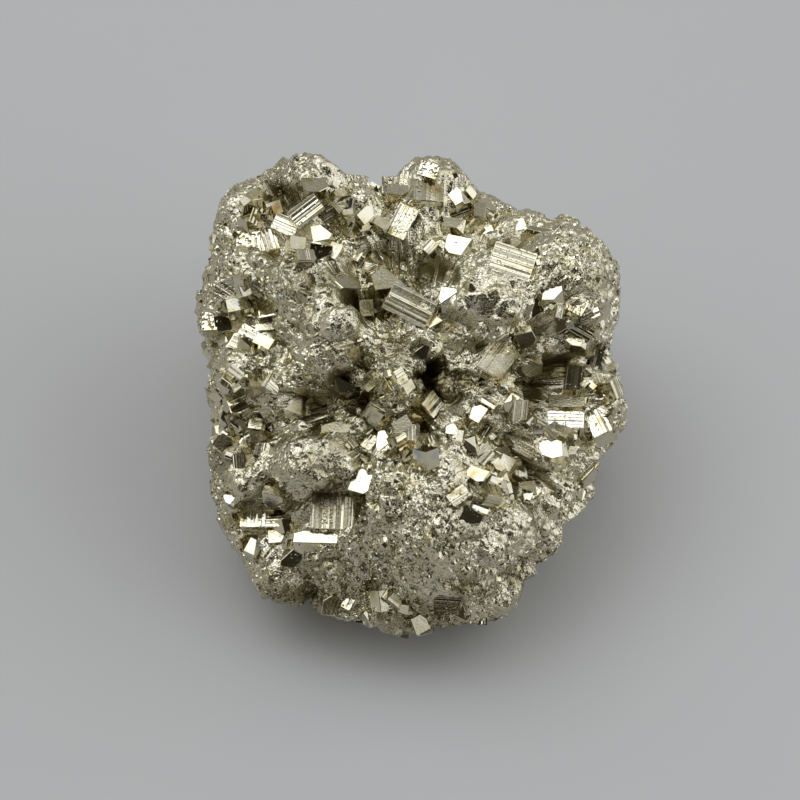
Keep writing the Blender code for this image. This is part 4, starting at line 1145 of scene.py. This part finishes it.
# %% [markdown]
# ## Packed between the named crystals
#
# Two rules are the show side's own. No packed crystal starts too near a named one, and none is kept on a
# grainy place. That one is left away after its draws, so that the rest stay where they are.

# %% Packed crystals
PACKED_CRYSTALS, PACKED_CRYSTAL_SIDE_MM, PACKED_CLEARANCE_MM, PACKED_CUT_SHARE = 48, (1.8, 3.4), 0.8, 0.2
GRAINY_SHARE = 0.15  # of a grainy place, from where no packed crystal shows


def packed_crystals():
    chance, looks = random.Random(SEED + 3), random.Random(SEED + 12)
    placed, grainy = [], []
    while len(placed) < PACKED_CRYSTALS:
        right, up, half_width, half_height = chance.choice(PACKED_PLACES_MM)
        distance, angle = math.sqrt(chance.random()), chance.uniform(0, 2 * math.pi)
        right += half_width * distance * math.cos(angle)
        up += half_height * distance * math.sin(angle)
        if any(math.dist((right, up), row[:2]) < max(row[2:4]) / 2 + PACKED_CLEARANCE_MM for row in CRYSTALS):
            continue
        point = seen_at(right, up, smooth_reach)
        facing = unit(surface_normal(point) + unit(EYE_MM - point))
        sides_mm = PACKED_CRYSTAL_SIDE_MM
        placed.append(loose_crystal(chance, looks, sunk(point), facing, sides_mm, PACKED_CUT_SHARE))
        grainy.append(oval_share(point[None], ROUGH_PLACES_MM)[0] > GRAINY_SHARE)
    return [crystal for crystal, is_grainy in zip(placed, grainy) if not is_grainy]


crystals = packed_crystals()
make_piece("packed_crystals", joined(crystals), face_finish)
print("packed_crystals are", len(crystals), "crystals")

# %% [markdown]
# ## Scattered over the sides that don't show
#
# Small ones sit round the rim and bigger ones on the back, and none where the stone may rest on the floor.

# %% Scattered crystals
SCATTERED_CRYSTALS = (  # count, lowest and highest share towards the viewer, sides in mm
    (44, -0.3, 0.3, (1.8, 3.2)), (38, -1.0, -0.3, (2.8, 6.5)),
)
SCATTERED_CUT_SHARE = 0.4
RESTING_SIDE_SLOPE = -0.72  # the upward share of the skin below which the stone may rest on it


def scattered_crystals():
    chance, looks = random.Random(SEED + 2), random.Random(SEED + 13)
    placed = []
    for count, lowest, highest, sides_mm in SCATTERED_CRYSTALS:
        wanted = len(placed) + count
        while len(placed) < wanted:
            way = any_direction(chance)
            if not lowest < way[0, 2] < highest or upward_share(way)[0] < RESTING_SIDE_SLOPE:
                continue
            point = way[0] * smooth_reach(way)[0]
            facing = surface_normal(point)
            placed.append(loose_crystal(chance, looks, point, facing, sides_mm, SCATTERED_CUT_SHARE))
    return placed


crystals = scattered_crystals()
make_piece("far_crystals", joined(crystals), face_finish)
print("far_crystals are", len(crystals), "crystals")

# %% [markdown]
# ## Druse
#
# The gaps are lined with thousands of crystals of about a millimetre, which a mineral dealer would call a
# druse. Placing them by hand or with a particle system would both work. Here they are dropped on random
# triangles of the mass, because a list of places can be thinned out or crowded by any rule: crowded in the
# valleys, sparse on the knobs.

# %% Places on the mass
BOX_MARGIN_MM = 0.6
triangle_areas = np.linalg.norm(triangle_ways, axis=1) / 2
smooth_normals = triangle_ways / np.maximum(triangle_areas[:, None] * 2, 1e-12)
triangle_middles = smooth_corners.mean(axis=1)
facing_viewer = (smooth_normals * unit(EYE_MM - triangle_middles)).sum(axis=1)
resting = upward_share(smooth_normals) < RESTING_SIDE_SLOPE
worn_triangles = worn[mass_triangles].mean(axis=1)
valley_triangles = valley[mass_triangles].mean(axis=1)
in_model = to_model(skin_points[mass_triangles].mean(axis=1))
usable = ((in_model > LOW + BOX_MARGIN_MM) & (in_model < HIGH - BOX_MARGIN_MM)).all(axis=1)
usable &= ~cleared[mass_triangles].any(axis=1)


def places(count, weights, chance):
    """(points, normals) at random on the mass's real skin, denser where the weights are higher."""
    weights = weights * usable
    chosen = chance.choice(len(weights), count, p=weights / weights.sum())
    mix = chance.random((count, 2))
    mix[mix.sum(axis=1) > 1] = 1 - mix[mix.sum(axis=1) > 1]
    first, second, third = (skin_points[mass_triangles[chosen, k]] for k in range(3))
    points = first + mix[:, :1] * (second - first) + mix[:, 1:] * (third - first)
    return points, smooth_normals[chosen]


print("the mass has", round(triangle_areas.sum()), "square mm of skin,",
      round(triangle_areas[facing_viewer > 0].sum()), "of it on the show side")

# %% [markdown]
# ## The druse itself
#
# Each crystal takes one of the cut cubes or, if it is big enough, a ridged bar, then a random turn and a
# lean that is seldom over 45 degrees. Most are small, as in a real druse, where many start and few grow on.
# None is kept on a named face or outside the outline, and only one in three in a gap.

# %% Druse crystals
VALLEY_CRYSTALS, VALLEY_SIDE_MM = 1300, (0.6, 2.8)
FILLER_CRYSTALS, FILLER_SIDE_MM = 1000, (0.4, 1.2)
RIDGED_FROM_MM, RIDGED_SHARE = 1.4, 0.5
DRUSE_LEAN, SMALLNESS, DRUSE_NARROWNESS, DRUSE_FLATNESS = 45, 1.6, (0.6, 1), (0.7, 1)
NAMED_CLEARANCE, OWN_CLEARANCE = 0.42, 0.25  # of a named face's shorter side, and of the small crystal's own
GAP_THINNING, GAP_CLEARANCE = 3, 0.05  # one in so many crystals stays in a gap
DRUSE_SLACK_MM = 0.3
VALLEY_STAND, FILLER_STAND, FILLER_EVERYWHERE = (-0.3, 0.25), (-0.3, 0.2), 0.12


def random_frames(normals, lean_degrees, chance):
    """For each normal, three axes at right angles: two at random along the skin, and one near the normal."""
    lean = math.tan(math.radians(lean_degrees))
    outward = unit(normals + chance.uniform(-lean, lean, normals.shape))
    first = unit(np.cross(outward, chance.normal(size=normals.shape)))
    return np.stack([first, np.cross(outward, first), outward], axis=1)


def druse(count, side_mm, density, rise, chance):
    """Small crystals, off the named faces and inside the outline. rise is how far they stand out."""
    points, normals = places(count, density, chance)
    frames = random_frames(normals, DRUSE_LEAN, chance)
    sides = side_mm[0] + (side_mm[1] - side_mm[0]) * chance.random(count) ** SMALLNESS
    named_at = np.array([row[:2] for row in CRYSTALS])
    named_half = NAMED_CLEARANCE * np.array([min(row[2:4]) for row in CRYSTALS])
    seen = seen_place(points)
    named_mm = np.linalg.norm(seen[:, None] - named_at, axis=2)
    clear = (named_mm > named_half + OWN_CLEARANCE * sides[:, None]).all(axis=1)
    in_no_gap = gap_share(seen) < -GAP_CLEARANCE * sides
    clear &= in_no_gap | (points[:, 2] < 0) | (np.arange(count) % GAP_THINNING == 0)
    shapes = []
    for point, axes, side, is_clear in zip(points, frames, sides, clear):
        sides_mm = side * np.array([1, chance.uniform(*DRUSE_NARROWNESS), chance.uniform(*DRUSE_FLATNESS)])
        if side > RIDGED_FROM_MM and chance.random() < RIDGED_SHARE:
            corners, faces = striated_block(*sides_mm, chance.uniform(*RIDGE_STRENGTH), ridge_chance)
        else:
            corners, faces = SMALL_CUBES[chance.integers(CUT_CUBES)]
            corners = corners * sides_mm
        corners = corners @ axes + point + axes[2] * side * chance.uniform(*rise)
        if is_clear and beyond_outline(corners).max() < DRUSE_SLACK_MM:
            shapes.append((corners, faces))
    return joined(shapes)


druse_chance, ridge_chance = np.random.default_rng(SEED + 20), random.Random(SEED + 21)
valley_density = triangle_areas * valley_triangles
filler_density = triangle_areas * ~resting * (FILLER_EVERYWHERE + valley_triangles)
for name, *rules in (("valley_crystals", VALLEY_CRYSTALS, VALLEY_SIDE_MM, valley_density, VALLEY_STAND),
                     ("filler_crystals", FILLER_CRYSTALS, FILLER_SIDE_MM, filler_density, FILLER_STAND)):
    make_piece(name, druse(*rules, druse_chance), face_finish)

# %% [markdown]
# ## Crust
#
# Fine-grained pyrite glitters because its skin is made of the corners of tiny cubes. Seen from outside, a
# cube's corner is three small faces at right angles, so four triangles are enough for a grain: three faces
# and a base. That is a third of a whole cube, and no more can be seen of a grain that is half buried.
#
# Grains lie thickest where the skin is broken and looks down, and thin out on worn places and in the
# valleys. On the show side they lean down a little, towards the viewer. Those that would stick out of the
# outline are left away.

# %% Grains of the crust
CORNER_GRAINS, CORNER_GRAIN_MM = 22000, (0.22, 0.5)
FAR_GRAINS, FAR_GRAIN_MM = 16000, (0.4, 1.1)
GRAIN_SLACK_MM = 0.35
GRAIN_LEAN, GRAIN_STAND, GRAIN_EDGE = 40, (0.1, 0.35), (0.7, 1.2)
WORN_FULL, VALLEY_THINNING, DOWN_TO_VIEWER = 1.1, 0.85, (0, -0.35, 0.5)


def kept_in(grains):
    """Those of many grains, each given by its corners, that stay inside the show side's outline."""
    beyond = beyond_outline(grains.reshape(-1, 3)).reshape(len(grains), -1)
    return grains[beyond.max(axis=1) < GRAIN_SLACK_MM]


def grain_corners(points, normals, sizes_mm, chance, lift=(0, 0, 0)):
    """Corners of cubes that point out of a surface, four triangles each. lift turns them a little one way."""
    count = len(points)
    frames = random_frames(unit(normals + np.array(lift)), GRAIN_LEAN, chance)
    size = chance.uniform(*sizes_mm, count)[:, None]
    angle = 2 * math.pi / 3 * np.arange(3)
    apex = points + frames[:, 2] * size * chance.uniform(*GRAIN_STAND, (count, 1))
    corners = [apex]
    for step in range(3):
        aside = frames[:, 0] * math.cos(angle[step]) + frames[:, 1] * math.sin(angle[step])
        corners.append(apex + size * (aside * math.sqrt(2 / 3) - frames[:, 2] * math.sqrt(1 / 3))
                       * chance.uniform(*GRAIN_EDGE, (count, 1)))
    corners = kept_in(np.stack(corners, axis=1))
    template = np.array([(0, 1, 2), (0, 2, 3), (0, 3, 1), (1, 3, 2)])
    faces = (template + 4 * np.arange(len(corners))[:, None, None]).reshape(-1, 3)
    return corners.reshape(-1, 3), faces.tolist()


crust_chance = np.random.default_rng(SEED + 30)
show_density = triangle_areas * (facing_viewer > 0) * (WORN_FULL - worn_triangles)
show_density *= 1 - VALLEY_THINNING * valley_triangles
show_density *= 1 + low[mass_triangles].mean(axis=1)
far_density = triangle_areas * (facing_viewer < 0) * ~resting
spots = places(CORNER_GRAINS, show_density, crust_chance)
grains = grain_corners(*spots, CORNER_GRAIN_MM, crust_chance, DOWN_TO_VIEWER)
make_piece("show_crust_grains", grains, crust_finish)
spots = places(FAR_GRAINS, far_density, crust_chance)
make_piece("far_crust_grains", grain_corners(*spots, FAR_GRAIN_MM, crust_chance), crust_finish)

# %% [markdown]
# ## Specks on the crystals
#
# A face with nothing on it looks like metal foil. On the real stone, specks of a tenth to a quarter of a
# millimetre have settled on the crystals' own faces, and they are the same grain corners, only smaller.

# %% Specks on the named faces
SPECKS_PER_SQUARE_MM, SPECK_MM = 2.0, (0.08, 0.28)
SPECKLED_HALF = 0.48  # of a face's sides, from its middle


def face_specks(per_square_mm, sizes_mm, chance):
    """Grain corners strewn over the named faces."""
    points, normals = [], []
    for (middle, axes), (_, _, along, across, *_) in zip(NAMED_FACES, CRYSTALS):
        count = chance.poisson(along * across * per_square_mm)
        shifts = chance.uniform(-SPECKLED_HALF, SPECKLED_HALF, (count, 2)) * (along, across)
        points.append(middle + shifts @ axes[:2])
        normals.append(np.repeat(axes[2:], count, axis=0))
    return grain_corners(np.concatenate(points), np.concatenate(normals), sizes_mm, chance)


specks = face_specks(SPECKS_PER_SQUARE_MM, SPECK_MM, np.random.default_rng(SEED + 31))
make_piece("face_specks", specks, crust_finish)

# %% [markdown]
# ## Splinters
#
# Longer grains, made as whole cuboids, lie between the others and draw out the glitter into short strokes.

# %% Splinters in the crust
SPLINTERS, SPLINTER_MM = 3500, (0.18, 0.8)
SPLINTER_LEAN, SPLINTER_WIDTH, SPLINTER_LENGTH, SPLINTER_HEIGHT = 50, (0.7, 1.6), (1, 3.6), (0.8, 1.4)


def splinters(count, sizes_mm, density, chance):
    """Whole cuboids, longer than wide, lying at all angles in the crust."""
    points, normals = places(count, density, chance)
    frames = random_frames(normals, SPLINTER_LEAN, chance)
    width = sizes_mm[0] * chance.uniform(*SPLINTER_WIDTH, count)
    sides = np.stack([np.minimum(width * chance.uniform(*SPLINTER_LENGTH, count), sizes_mm[1]), width,
                      width * chance.uniform(*SPLINTER_HEIGHT, count)], axis=1)
    box = np.array([(x, y, z) for x in (-0.5, 0.5) for y in (-0.5, 0.5) for z in (-0.5, 0.5)])
    corners = kept_in(np.einsum("nik,nkj->nij", box[None] * sides[:, None], frames) + points[:, None])
    template = np.array([(0, 1, 3, 2), (4, 6, 7, 5), (0, 4, 5, 1), (2, 3, 7, 6), (0, 2, 6, 4), (1, 5, 7, 3)])
    faces = (template + 8 * np.arange(len(corners))[:, None, None]).reshape(-1, 4)
    return corners.reshape(-1, 3), faces.tolist()


make_piece("crust_splinters", splinters(SPLINTERS, SPLINTER_MM, show_density, crust_chance), crust_finish)

# %% [markdown]
# ## Camera
#
# The camera stands at the eye that the tables were laid out from, on a long lens, so the stone shows little
# perspective. Its axes are the same three: right, up, and towards the viewer, because a camera looks along
# its own -Z.

# %% Camera
LENS_MM, SENSOR_MM, NEAREST_SEEN_M = 85, 36, 0.01
camera_data = bpy.data.cameras.new("camera")
camera_data.lens, camera_data.sensor_width, camera_data.clip_start = LENS_MM, SENSOR_MM, NEAREST_SEEN_M
camera = add_object("camera", camera_data)
camera.matrix_world = Matrix.Translation(Vector(to_model(EYE_MM)) * MM) @ Matrix(SIGHT_TURN.tolist()).to_4x4()
bpy.context.scene.camera = camera
print("the frame is", round(EYE_MM[2] * SENSOR_MM / LENS_MM), "mm wide at the stone")

# %% [markdown]
# ## Floor
#
# A sheet of matte paper, pale grey, with an unevenness so slight that it can only be felt. It is the
# background, and it is also what every facet that looks down mirrors, so its tone sets the tone of the
# stone's lower half.

# %% Floor
FLOOR_HALF_M, FIBRE_PATCH_MM = 2, 60
PAPER = ((0, "#BEBEBC"), (1, "#C1C1BF"))  # the sheet's thinner and thicker places

floor_finish, floor_tree, floor_shader, floor_place = new_material("matte_paper")
floor_shader.inputs["Roughness"].default_value = 0.9
floor_shader.inputs["Specular IOR Level"].default_value = 0.1
fibres = add_node(floor_tree, "ShaderNodeTexNoise", {}, {"Scale": 1 / (FIBRE_PATCH_MM * MM), "Detail": 2.0},
                  {"Vector": floor_place}).outputs["Fac"]
floor_tree.links.new(add_ramp(floor_tree, PAPER, fibres), floor_shader.inputs["Base Color"])
floor_corners = [(x * FLOOR_HALF_M, y * FLOOR_HALF_M, 0) for x, y in ((-1, -1), (1, -1), (1, 1), (-1, 1))]
floor_mesh = bpy.data.meshes.new("floor")
floor_mesh.from_pydata(floor_corners, [], [(0, 1, 2, 3)])
floor_mesh.materials.append(floor_finish)
floor = add_object("floor", floor_mesh)
print("the floor is", 2 * FLOOR_HALF_M, "m wide")

# %% [markdown]
# ## Light tent
#
# A metal shows nothing but its surroundings, so the light is designed as a picture to be reflected. It is a
# tent of thin cloth, unevenly lit. A softbox shines through it from above, a little to the left, with a
# hotter middle, and a weaker one from the right. Places stay dim where something stands in front of the
# cloth: the camera and its stand, the open front, the back wall, the left side. Lamps would do the same
# work, but a sky is free of hard edges and leaves no lamp to show up as a white square in a crystal face.
# The dim parts are warm and the bright ones neutral, like cloth.

# %% The sky
TENT, UNEVEN_SHARE, UNEVEN_SCALE = 0.485, 0.4, 2.3
NOISE_RANGE = (0.3, 0.7)  # where nearly all of the noise's values lie
GLOWS = (  # direction, brightness added, full within and gone beyond these angles in degrees
    ((-0.24, 0.10, 0.965), 1.8, 15, 41), ((-0.24, 0.10, 0.965), 0.5, 5, 12),
    ((-0.8, 0.1, 0.6), 0.2, 10, 50), ((0.85, -0.05, 0.45), 1.1, 10, 50),
)
DARKS = (  # direction, share taken away, full within and gone beyond these angles in degrees
    ((0, -RUN, RISE), 0.76, 14, 41), ((0.0, -0.97, 0.22), 0.72, 22, 64), ((0, 0.66, 0.75), 0.35, 8, 32),
    ((-0.85, 0.4, 0.1), 0.4, 15, 55),
)
TINTS = ((0.0, "#A09468"), (0.28, "#F8F6EC"), (0.9, "#FFFFFF"), (1.0, "#F6F8FF"))  # by brightness

world = bpy.data.worlds.new("light_tent")
world.use_nodes = True
sky = world.node_tree
sky_place = add_node(sky, "ShaderNodeTexCoord").outputs["Generated"]


def near_direction(way, full, gone, most):
    """A value that is most within an angle of a direction, and falls smoothly to 0."""
    way = Vector(way).normalized()
    cosine = add_node(sky, "ShaderNodeVectorMath", {"operation": "DOT_PRODUCT"}, {1: way}, {0: sky_place})
    return add_node(sky, "ShaderNodeMapRange", {"interpolation_type": "SMOOTHSTEP"},
                    {"From Min": math.cos(math.radians(gone)), "From Max": math.cos(math.radians(full)),
                     "To Max": most}, {"Value": cosine.outputs["Value"]}).outputs["Result"]


room = add_node(sky, "ShaderNodeTexNoise", {}, {"Scale": UNEVEN_SCALE, "Detail": 1.0}, {"Vector": sky_place})
brightness = add_node(sky, "ShaderNodeMapRange", {},
                      {"From Min": NOISE_RANGE[0], "From Max": NOISE_RANGE[1],
                       "To Min": TENT * (1 - UNEVEN_SHARE), "To Max": TENT * (1 + UNEVEN_SHARE)},
                      {"Value": room.outputs["Fac"]}).outputs["Result"]
for way, most, full, gone in GLOWS:
    brightness = add_node(sky, "ShaderNodeMath", {"operation": "ADD"}, {},
                          {0: brightness, 1: near_direction(way, full, gone, most)}).outputs["Value"]
for way, share, full, gone in DARKS:
    lit = add_node(sky, "ShaderNodeMath", {"operation": "SUBTRACT"}, {0: 1.0},
                   {1: near_direction(way, full, gone, share)})
    brightness = add_node(sky, "ShaderNodeMath", {"operation": "MULTIPLY"}, {},
                          {0: brightness, 1: lit.outputs["Value"]}).outputs["Value"]
sky.links.new(add_ramp(sky, TINTS, brightness), sky.nodes["Background"].inputs["Color"])
sky.links.new(brightness, sky.nodes["Background"].inputs["Strength"])
bpy.context.scene.world = world
bpy.context.scene.view_settings.view_transform = "Standard"
bpy.context.scene.cycles.glossy_bounces = 8
print("the sky has", len(GLOWS), "glows and", len(DARKS), "dim places in", len(sky.nodes), "nodes")
